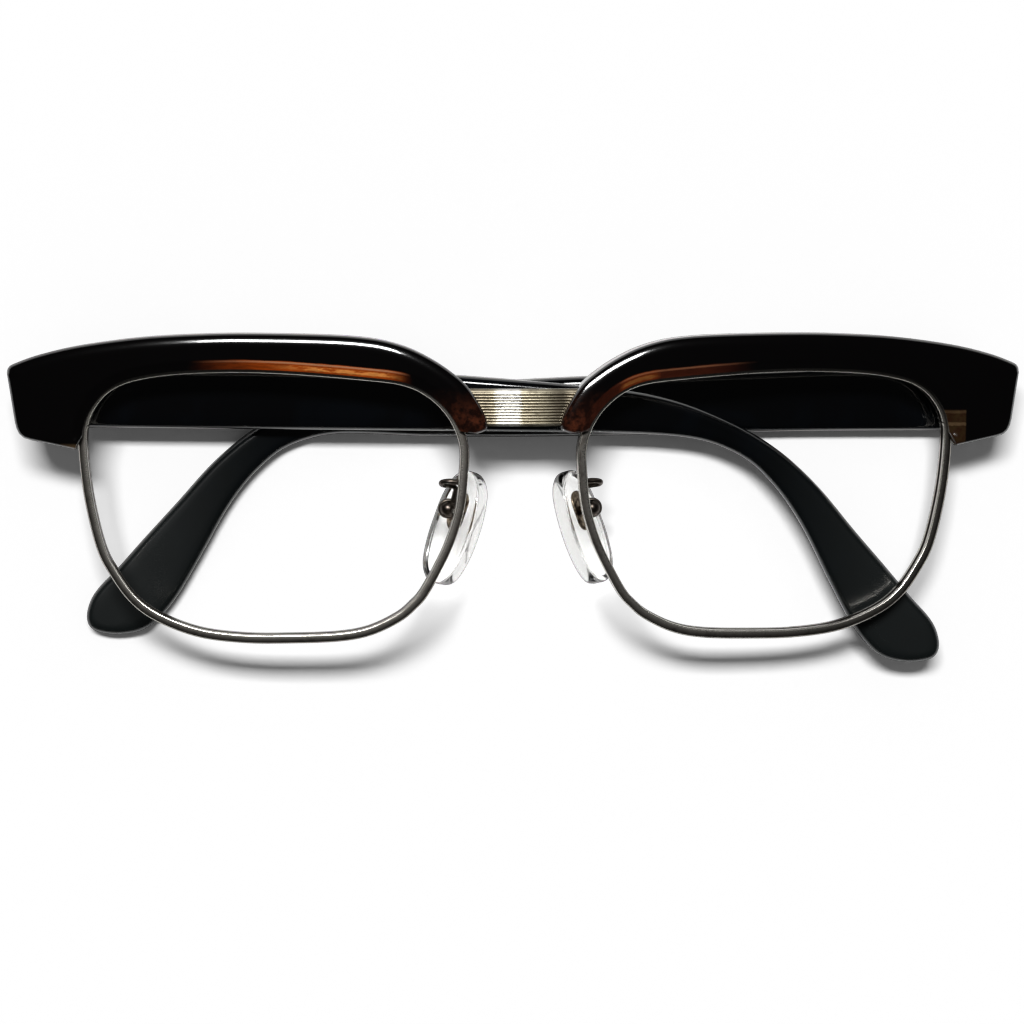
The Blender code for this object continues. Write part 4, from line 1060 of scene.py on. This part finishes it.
def makeScrews(setup):
    spots = screwSpots(setup)
    mesh = bpy.data.meshes.new("screws")
    mesh.from_pydata([spot[0] for spot in spots], [], [])
    piece = placed("screws", mesh)
    facing = mesh.attributes.new("facing", "FLOAT_VECTOR", "POINT")
    facing.data.foreach_set("vector", [part for spot in spots for part in spot[1]])
    for name, place in (("headRadius", 2), ("headHeight", 3), ("shaftRadius", 4), ("shaftLength", 5)):
        pointField(piece, name, [spot[place] * mm for spot in spots])

    wanted = {"Slot Width": ("Float", 0.3), "Slot Depth": ("Float", 0.62)}
    bench, ask = pieceTree("screwsOnPoints", wanted)

    def lifted(shape, way):
        return bench.add("GeometryNodeTransform", {"Geometry": shape, "Translation": way})

    def carved(operation, values):
        return bench.add("GeometryNodeMeshBoolean", values, {"operation": operation, "solver": "EXACT"})

    def named(name, kind="FLOAT"):
        return bench.add("GeometryNodeInputNamedAttribute", {"Name": name}, {"data_type": kind})

    # a head of radius 1 and height 1: a low dome with a slot across it
    ball = bench.add("GeometryNodeMeshUVSphere", {"Segments": 40, "Rings": 24, "Radius": 1.0})
    values = {"Vertices": 40, "Side Segments": 3, "Radius": 1.2, "Depth": 2.0}
    drum = lifted(bench.add("GeometryNodeMeshCylinder", values), (0, 0, 1.0))
    slotSize = bench.add("ShaderNodeCombineXYZ", {0: 3.0, 1: ask["Slot Width"], 2: 2.0})
    slotLift = bench.add("ShaderNodeCombineXYZ", {2: 2.0 - ask["Slot Depth"]})
    bar = lifted(bench.add("GeometryNodeMeshCube", {"Size": slotSize}), slotLift)
    dome = carved("INTERSECT", {"Mesh 2": ball})
    bench.tree.links.new(drum.socket, dome.socket.node.inputs["Mesh 2"])
    head = carved("DIFFERENCE", {"Mesh 1": dome, "Mesh 2": bar})
    shaft = bench.add("GeometryNodeMeshCylinder", {"Vertices": 28, "Radius": 1.0, "Depth": 1.0})
    shaft = lifted(shaft, (0, 0, -0.45))
    values = {"Vector": named("facing", "FLOAT_VECTOR")}
    turn = bench.add("FunctionNodeAlignRotationToVector", values, {"axis": "Z"})
    copies = []
    for shape, radius, length in ((head, "headRadius", "headHeight"), (shaft, "shaftRadius", "shaftLength")):
        scale = bench.add("ShaderNodeCombineXYZ", {0: named(radius), 1: named(radius), 2: named(length)})
        values = {"Points": ask["Geometry"], "Instance": shape, "Rotation": turn, "Scale": scale}
        copies.append(bench.add("GeometryNodeInstanceOnPoints", values))
    return grown(piece, bench, copies, wanted)


def mergedCopy(node, name):
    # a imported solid's mesh, merged, ready for its edges to be eased
    mesh = frame["nodes"][node].data.copy()
    work = bmesh.new()
    work.from_mesh(mesh)
    bmesh.ops.remove_doubles(work, verts=work.verts, dist=0.000002)
    bmesh.ops.dissolve_limit(work, angle_limit=math.radians(1), verts=work.verts, edges=work.edges)
    bmesh.ops.recalc_face_normals(work, faces=work.faces)
    work.to_mesh(mesh)
    work.free()
    if "custom_normal" in mesh.attributes:
        mesh.attributes.remove(mesh.attributes["custom_normal"])
    return placed(name, mesh)


# finishes

def apart(bench, vector):
    node = bench.add("ShaderNodeSeparateXYZ", {0: vector}).socket.node
    return [Wire(bench.tree, socket) for socket in node.outputs]


def cloud(bench, spot, scale, detail=3.0, roughness=0.5, distortion=0.0):
    values = {"Vector": spot, "Scale": scale, "Detail": detail, "Roughness": roughness}
    return bench.add("ShaderNodeTexNoise", {**values, "Distortion": distortion})


def field(bench, name):
    return bench.add("ShaderNodeAttribute", None, {"attribute_name": name}, 2)


def between(bench, value, low, high, soft):
    # 1 from low to high, easing off over soft at both ends
    return bench.fade(value, low - soft, low) * (1 - bench.fade(value, high, high + soft))


acetateMake = {
    "black": (0.0008, 0.0006, 0.0007),
    "deepRed": (0.030, 0.008, 0.006),
    "redBrown": (0.120, 0.030, 0.011),
    "bandRed": (0.052, 0.010, 0.004),
    "amberDark": (0.38, 0.060, 0.004),
    "amberLight": (1.0, 0.37, 0.085),
    "creaseTan": (0.50, 0.22, 0.11),
    "windowRed": (0.020, 0.007, 0.003),
    "windowBrown": (0.026, 0.014, 0.005),
    "windowLine": (0.080, 0.050, 0.025),
}


def browAcetate(setup):
    finish, bench = newFinish("browAcetate")
    spot = inMillimetres(bench)
    x, y, z = apart(bench, spot)
    eyeGap = field(bench, "eyeGap")
    patch = cloud(bench, spot, 0.42, 4.0, 0.62, 0.6)
    grain = cloud(bench, spot, 1.7, 3.0, 0.6, 0.3)
    wander = patch - 0.5
    # the band under the crease: light along the crease, brightest half way down, dark at the edge
    band = 1 - bench.fade(eyeGap + wander * 0.25, 1.2, 1.4)
    crease = between(bench, eyeGap, 1.06, 1.18, 0.12)
    core = between(bench, eyeGap + (grain - 0.5) * 0.4, 0.36, 0.66, 0.22)
    streak = cloud(bench, inMillimetres(bench, (0.4, 1.0, 1.5)), 1.1, 4.0, 0.65)
    glow = core * bench.fade(streak, 0.36, 0.54)
    # amber under the left brow, and red-brown with one light streak along the right
    leftEnd = 1 - bench.fade(x + wander * 2, -19.8, -15.2)
    leftAmber = bench.fade(x + wander * 2, -46.0, -31.0) * leftEnd
    leftBright = bench.fade(x, -36.0, -26.0) * leftEnd
    rightStreak = between(bench, x + wander * 2, 14.3, 17.5, 1.5)
    rightFaint = between(bench, x + wander * 3, 15.0, 24.0, 9.0)
    dim = bench.fade(streak, 0.62, 0.44) * 0.35 + 0.65
    amber = band * dim * (leftAmber + rightStreak * 0.25).held()
    glow = glow * (leftBright + rightStreak).held()
    faint = band * rightFaint * (0.35 + streak)
    outward = x.maths("ABSOLUTE", x)
    nose = 1 - bench.fade(outward + wander * 6, 9.0, 19.0)
    mottle = bench.fade(patch + (grain - 0.5) * 0.3, 0.40, 0.66)
    low = 1 - bench.fade(z + wander * 5, 35.0, 40.5)
    red = nose * low * (0.10 + mottle * 0.65)
    colour = bench.mix(red, setup["black"], bench.mix(grain, setup["deepRed"], setup["redBrown"]))
    colour = bench.mix(faint.held(), colour, setup["bandRed"])
    colour = bench.mix(amber, colour, bench.mix(glow, setup["amberDark"], setup["amberLight"]))
    line = (leftAmber + bench.fade(x, 12.0, 15.0) * rightFaint * 0.3).held()
    colour = bench.mix(crease * line * 0.9, colour, setup["creaseTan"])
    # the thin right end lets the metal block behind it shine through
    window = between(bench, x, 59.7, 62.5, 0.25) * between(bench, z, 31.8, 36.5, 0.25)
    seam = between(bench, z + (grain - 0.5) * 0.25, 34.5, 34.8, 0.15)
    seam = seam + between(bench, z, 36.2, 36.5, 0.1) * 0.5
    blotch = bench.fade(grain * 0.6 + patch * 0.4, 0.38, 0.62)
    shine = bench.mix(blotch, setup["windowRed"], setup["windowBrown"])
    shine = bench.mix(seam.held() * (0.4 + grain), shine, setup["windowLine"])
    colour = bench.mix(window * 0.85, colour, shine)
    tan = between(bench, x, -63.2, -61.2, 0.3) * (1 - bench.fade(z, 31.9, 32.5))
    colour = bench.mix(tan * 0.8, colour, setup["windowLine"])
    fine = cloud(bench, inMillimetres(bench, (0.6, 1.0, 3.0)), 9.0, 2.0)
    wave = cloud(bench, spot, 0.22, 2.0)
    surface(bench, {
        "Base Color": colour,
        "Roughness": 0.07 + fine * 0.06,
        "IOR": 1.49,
        "Coat Weight": 0.5,
        "Coat Roughness": 0.03,
        "Normal": bumped(bench, wave * 0.8 + fine * 0.012, 0.05, 0.35),
    })
    return finish


def templeAcetate():
    finish, bench = newFinish("templeAcetate")
    spot = inMillimetres(bench)
    tip = bench.fade(field(bench, "tip"), 0.72, 0.95)
    patch = cloud(bench, spot, 0.11, 3.0, 0.55, 0.4)
    fine = cloud(bench, inMillimetres(bench, (0.35, 2.0, 2.0)), 6.0, 3.0, 0.6)
    wave = cloud(bench, spot, 0.16, 2.0)
    colour = bench.mix(bench.fade(patch, 0.4, 0.65), (0.0006, 0.0007, 0.0010), (0.0009, 0.0014, 0.0022))
    colour = bench.mix(tip * 0.8, colour, (0.0060, 0.0080, 0.0080))
    surface(bench, {
        "Base Color": colour,
        "Roughness": 0.08 + fine * 0.05 + tip * 0.18,
        "IOR": 1.49,
        "Coat Weight": 0.5 - tip * 0.35,
        "Coat Roughness": 0.05,
        "Normal": bumped(bench, wave + fine * 0.015, 0.06, 0.3),
    })
    return finish


def rimSilver():
    finish, bench = newFinish("rimSilver")
    spot = inMillimetres(bench)
    wearAndEdgeHighlight = field(bench, "wearAndEdgeHighlight")
    stain = cloud(bench, spot, 0.9, 5.0, 0.65, 0.5)
    fine = cloud(bench, spot, 14.0, 3.0, 0.6)
    # lighter rounded edges: partly worn silver, partly a painted highlight standing in for the lamp on the
    # corners
    wornAndHighlitEdge = (wearAndEdgeHighlight * 1.2 - 0.1 + (stain - 0.5) * 0.3).held()
    colour = bench.mix(wornAndHighlitEdge, (0.095, 0.080, 0.068), (0.94, 0.91, 0.83))
    colour = bench.mix(bench.fade(stain, 0.45, 0.3) * 0.3, colour, (0.05, 0.040, 0.034))
    surface(bench, {
        "Base Color": colour,
        "Metallic": 1.0,
        "Roughness": 0.21 + (1 - wornAndHighlitEdge) * 0.05 + fine * 0.06,
        "Normal": bumped(bench, stain * 0.6 + fine * 0.25, 0.02, 0.5),
    })
    return finish


def bridgeSilver(setup):
    finish, bench = newFinish("bridgeSilver")
    spot = inMillimetres(bench)
    x, y, z = apart(bench, spot)
    stain = cloud(bench, inMillimetres(bench, (1, 1, 2.2)), 0.8, 5.0, 0.6, 0.4)
    fine = cloud(bench, inMillimetres(bench, (0.25, 1, 6)), 8.0, 3.0)
    # painted reflection: lighter in the middle and darker towards the brows, and a painted highlight as a
    # bright stripe just left of the middle
    paintedHighlight = bench.fade(x, -4.4, -2.9) * (1 - bench.fade(x, -0.9, -0.1))
    middle = between(bench, x + (stain - 0.5) * 2, -2.9, 2.6, 2.6)
    colour = bench.mix(middle, (0.30, 0.26, 0.19), (0.50, 0.45, 0.33))
    # the painted highlight stripe
    colour = bench.mix(paintedHighlight, colour, (0.95, 0.93, 0.86))
    colour = bench.mix(bench.fade(stain, 0.46, 0.3) * 0.5, colour, (0.10, 0.08, 0.055))
    # darker in the grooves between the ridges
    top = splitHeight + setup["height"] - setup["margin"] + shiftZ
    rows = (top - z) / setup["pitch"]
    groove = bench.fade(rows.maths("PINGPONG", rows, 0.5), 0.2, 0.02)
    inside = between(bench, rows, 0.0, float(setup["ridges"]), 0.1)
    colour = bench.mix(groove * inside * 0.65, colour, (0.10, 0.082, 0.062))
    surface(bench, {
        "Base Color": colour,
        "Metallic": 1.0,
        "Roughness": 0.32 + stain * 0.08 + fine * 0.06,
        "Normal": bumped(bench, fine, 0.012, 0.4),
    })
    return finish


def plainMetal(name, setup):
    # a satin metal with tarnish in patches and fine drawn lines
    finish, bench = newFinish(name)
    spot = inMillimetres(bench)
    stain = cloud(bench, spot, setup["patches"], 4.0, 0.6, 0.4)
    lines = cloud(bench, inMillimetres(bench, setup["draw"]), 7.0, 3.0, 0.6)
    colour = bench.mix(bench.fade(stain, 0.42, 0.64), setup["dark"], setup["light"])
    surface(bench, {
        "Base Color": colour,
        "Metallic": 1.0,
        "Roughness": setup["roughness"] + lines * 0.12 + stain * 0.08,
        "Normal": bumped(bench, lines, 0.012, 0.35),
    })
    return finish


metalMake = {
    "hingeNickel": {
        "light": (0.62, 0.59, 0.53), "dark": (0.36, 0.33, 0.28),
        "roughness": 0.24, "patches": 0.7, "draw": (3, 3, 0.4),
    },
    "screwSteel": {
        "light": (0.66, 0.65, 0.62), "dark": (0.33, 0.32, 0.30),
        "roughness": 0.20, "patches": 1.6, "draw": (1, 1, 1),
    },
    "coreWire": {
        "light": (0.52, 0.52, 0.51), "dark": (0.34, 0.34, 0.34),
        "roughness": 0.25, "patches": 0.4, "draw": (0.2, 4, 4),
    },
    "insertNickel": {
        "light": (0.42, 0.34, 0.24), "dark": (0.06, 0.038, 0.024),
        "roughness": 0.28, "patches": 1.5, "draw": (2, 2, 0.5),
    },
}


def clearPad():
    finish, bench = newFinish("clearPad")
    spot = inMillimetres(bench)
    haze = cloud(bench, spot, 0.5, 4.0, 0.6)
    fine = cloud(bench, spot, 5.0, 3.0)
    colour = bench.mix(bench.fade(haze, 0.45, 0.7), (0.995, 0.995, 0.985), (0.975, 0.97, 0.95))
    surface(bench, {
        "Base Color": colour,
        "Roughness": 0.012 + bench.fade(haze, 0.5, 0.75) * 0.02 + fine * 0.008,
        "IOR": 1.42,
        "Transmission Weight": 1.0,
        "Normal": bumped(bench, haze + fine * 0.05, 0.02, 0.15),
    })
    return finish


finishes = {
    "brow": browAcetate(acetateMake),
    "temple": templeAcetate(),
    "rim": rimSilver(),
    "bridge": bridgeSilver(bridgeMake),
    "pad": clearPad(),
}
for metal, values in metalMake.items():
    finishes[metal] = plainMetal(metal, values)
print("finishes made:", len(finishes))


def setUp(piece, finish, body, node, angle=40):
    shaded(piece, finishes[finish], angle)
    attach(piece, body)
    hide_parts(*([node] if isinstance(node, str) else node))


def bothSides(piece, stem, finish, body, node, angle=40):
    # the right piece and its mirror image on the left; body and node carry {} where the side goes
    other = mirrored(piece, stem + "Left")
    for each, side in ((piece, "right"), (other, "left")):
        setUp(each, finish, body.format(side), node.format(side), angle)


bothSides(makeRim(rimMake), "rim", "rim", "front", "rim_{}", 30)
print("rims made")
bothSides(makeBrow(browMake), "brow", "brow", "front", "brow_{}", 32)
print("brows made")
setUp(makeBridge(bridgeMake), "bridge", "front", "bridge", 50)
print("bridge made")
for side in sides:
    body = "temple_" + side.lower()
    setUp(makeTemple(side, templeMake), "temple", body, body, 35)
print("temples made")
clear = makePad(padMake)
clear.visible_shadow = False  # clear plastic lets the light through
bothSides(clear, "nosePad", "pad", "pad_{}", "nose_pad_{}", 60)
bothSides(makeInsert(padMake), "padInsert", "insertNickel", "pad_{}", "pad_insert_{}", 40)
bothSides(makeArm(padMake), "padArm", "rim", "front", "pad_arm_{}", 50)
print("nose pads made")

screwNodes = [name.replace("right", side) for name in screwMake for side in ("right", "left")]
setUp(makeScrews(screwMake), "screwSteel", "front", screwNodes, 35)
print("screws made")

hardwareMake = {
    # node: (piece, finish, body, slot, eased edge)
    "rim_block_upper_{}": ("blockUpper", "rim", "front", "rim_metal", 0.12),
    "rim_block_lower_{}": ("blockLower", "rim", "front", "rim_metal", 0.12),
    "brow_tab_inner_{}": ("tabInner", "rim", "front", "rim_metal", 0.06),
    "brow_tab_outer_{}": ("tabOuter", "rim", "front", "rim_metal", 0.06),
    "front_hinge_{}": ("hingeFront", "hingeNickel", "front", "hinge_metal", 0.08),
    "temple_hinge_{}": ("hingeTemple", "hingeNickel", "temple_{}", "hinge_metal", 0.08),
}
trimMake = {
    # how much of a copy's end is kept back from the eye, so that the rim hides it as on the real frame
    "hingeTemple": 60.5,
    "tabInner": "rim",
    "tabOuter": "rim",
}


def trimmed(piece, name, side):
    # piece still has its sharp edges here
    kept = trimMake.get(name)
    if kept is None:
        return piece
    sign = sides[side]
    if kept == "rim":
        flat, spots = flatSpots(piece)
        middle = (flat[:, 0].min() + flat[:, 0].max()) / 2
        ring = offsetRing(eyeRing(8), 0.35)
        near = [p.y for p in ring if abs(p.x - middle) < 1.6 and p.y > eyeMiddle]
        low, high = (middle - 4, -30, 0), (middle + 4, 30, max(near) + shiftZ)
    else:
        low, high = (kept - 8, -30, 0), (kept, 30, 60)
    ends = sorted((low[0] * sign, high[0] * sign))
    corners = [Vector((end, *corner[1:])) * mm for end, corner in zip(ends, (low, high))]
    return cut(piece, [blockPiece("trim", *corners)])


for node, (name, finish, body, slot, width) in hardwareMake.items():
    for side in sides:
        low = side.lower()
        piece = softened(trimmed(mergedCopy(node.format(low), name + side), name, side), width)
        setUp(piece, finish, body.format(low), node.format(low))
for low in ("left", "right"):
    for holder in frame["nodes"]["core_wire_" + low].material_slots:
        holder.material = finishes["coreWire"]
print("hardware made")


stageMake = {
    "floorPlace": (0.00822, -0.02444),  # the plane that the outer temple lies on: y at x = 0, and its slope
    "floorSize": 2.0,
    "gapAcross": (0.030, 0.080),  # where an open temple passes through the floor's plane
    "gapUp": (0.000, 0.056),
    "gapSoft": 0.009,
    "gapFree": (0.99, 0.2),  # an open zone is drawn where this share of the way round is free, so far out
    "lampPower": 7.9,
    "lampSize": (0.33, 0.115),
    "lampDistance": 0.9,
    "lampLift": 23.5,
    "lampSide": -7.5,
    "lampAim": 0.024,
    "table": 0.95,
    "room": 0.12,
    "roomShine": 0.018,  # what polished faces see of the dim room
}


def makeFloor(setup):
    far = setup["floorSize"]
    near, wide = setup["gapAcross"]
    low, high = setup["gapUp"]
    across = [-far, -wide, -near, near, wide, far]
    up = [-far, low, high, far]
    start, slope = setup["floorPlace"]
    points = [(x, start + slope * x, z) for z in up for x in across]
    row = len(across)
    starts = [r * row + c for r in range(len(up) - 1) for c in range(row - 1)]
    faces = [(a, a + 1, a + row + 1, a + row) for a in starts]
    mesh = bpy.data.meshes.new("floor")
    mesh.from_pydata(points, [], faces)
    floor = placed("floor", mesh)
    floor.is_shadow_catcher = True
    enough, around = setup["gapFree"]
    for name, opens in (("floorCard", False), ("floorCardOpen", True)):
        card, bench = newFinish(name)
        white = bench.add("ShaderNodeBsdfDiffuse", {"Color": (0.9, 0.9, 0.9, 1)})
        clear = bench.add("ShaderNodeBsdfTransparent")
        shown = white
        if opens:
            ahead = bench.add("ShaderNodeCombineXYZ", {0: -slope, 1: 1.0})
            values = {"Distance": around, "Normal": ahead}
            free = bench.add("ShaderNodeAmbientOcclusion", values, {"samples": 32}, 1)
            x, y, z = apart(bench, bench.add("ShaderNodeTexCoord", out=objectOut))
            soft = setup["gapSoft"]
            inside = between(bench, x.maths("ABSOLUTE", x), near + soft, wide - soft, soft)
            inside = inside * between(bench, z, low + soft, high - soft, soft)
            kept = (free.maths("GREATER_THAN", free, enough) + (1 - inside)).held()
            shown = bench.add("ShaderNodeMixShader", {0: kept, 1: clear, 2: white})
        behind = bench.add("ShaderNodeNewGeometry", out=backfacingOut)
        shown = bench.add("ShaderNodeMixShader", {0: behind, 1: shown, 2: clear})
        bench.add("ShaderNodeOutputMaterial", {"Surface": shown})
        mesh.materials.append(card)
    for face in (6, 8):  # the middle row's second and fourth
        mesh.polygons[face].material_index = 1


def makeWorld(setup):
    world = bpy.data.worlds.new("studio")
    world.use_nodes = True
    world.node_tree.nodes.clear()
    bpy.context.scene.world = world
    bench = Bench(world.node_tree)
    path = bench.add("ShaderNodeLightPath").socket.node
    camera = Wire(bench.tree, path.outputs["Is Camera Ray"])
    through = Wire(bench.tree, path.outputs["Is Transmission Ray"])
    glossy = Wire(bench.tree, path.outputs["Is Glossy Ray"])
    x, y, z = apart(bench, bench.add("ShaderNodeTexCoord", out=generatedOut))
    # the white table lies behind the frame, and a dim room in front of it
    table = bench.fade(y, -0.1, 0.15)
    room = setup["room"] - glossy * (setup["room"] - setup["roomShine"])
    level = bench.add("ShaderNodeMapRange", {0: table, 3: room, 4: setup["table"]})
    plain = bench.add("ShaderNodeBackground", {"Color": (1, 1, 1, 1), "Strength": level})
    white = bench.add("ShaderNodeBackground", {"Color": (1, 1, 1, 1), "Strength": 1.0})
    seen = (camera + through * (0.2 + table * 0.8) + glossy * table).held()
    shown = bench.add("ShaderNodeMixShader", {0: seen, 1: plain, 2: white})
    bench.add("ShaderNodeOutputWorld", {"Surface": shown})


def makeLamp(setup):
    data = bpy.data.lights.new("keyLamp", "AREA")
    data.shape = "RECTANGLE"
    data.size, data.size_y = setup["lampSize"]
    data.energy = setup["lampPower"]
    lamp = placed("keyLamp", data)
    lift, side = math.radians(setup["lampLift"]), math.radians(setup["lampSide"])
    way = Vector((math.sin(side) * math.cos(lift), -math.cos(side) * math.cos(lift), math.sin(lift)))
    lamp.location = Vector((0, 0, setup["lampAim"])) + way * setup["lampDistance"]
    lamp.rotation_mode = "QUATERNION"
    lamp.rotation_quaternion = (-way).to_track_quat("-Z", "Y")


makeFloor(stageMake)
makeWorld(stageMake)
makeLamp(stageMake)
print("stage made")
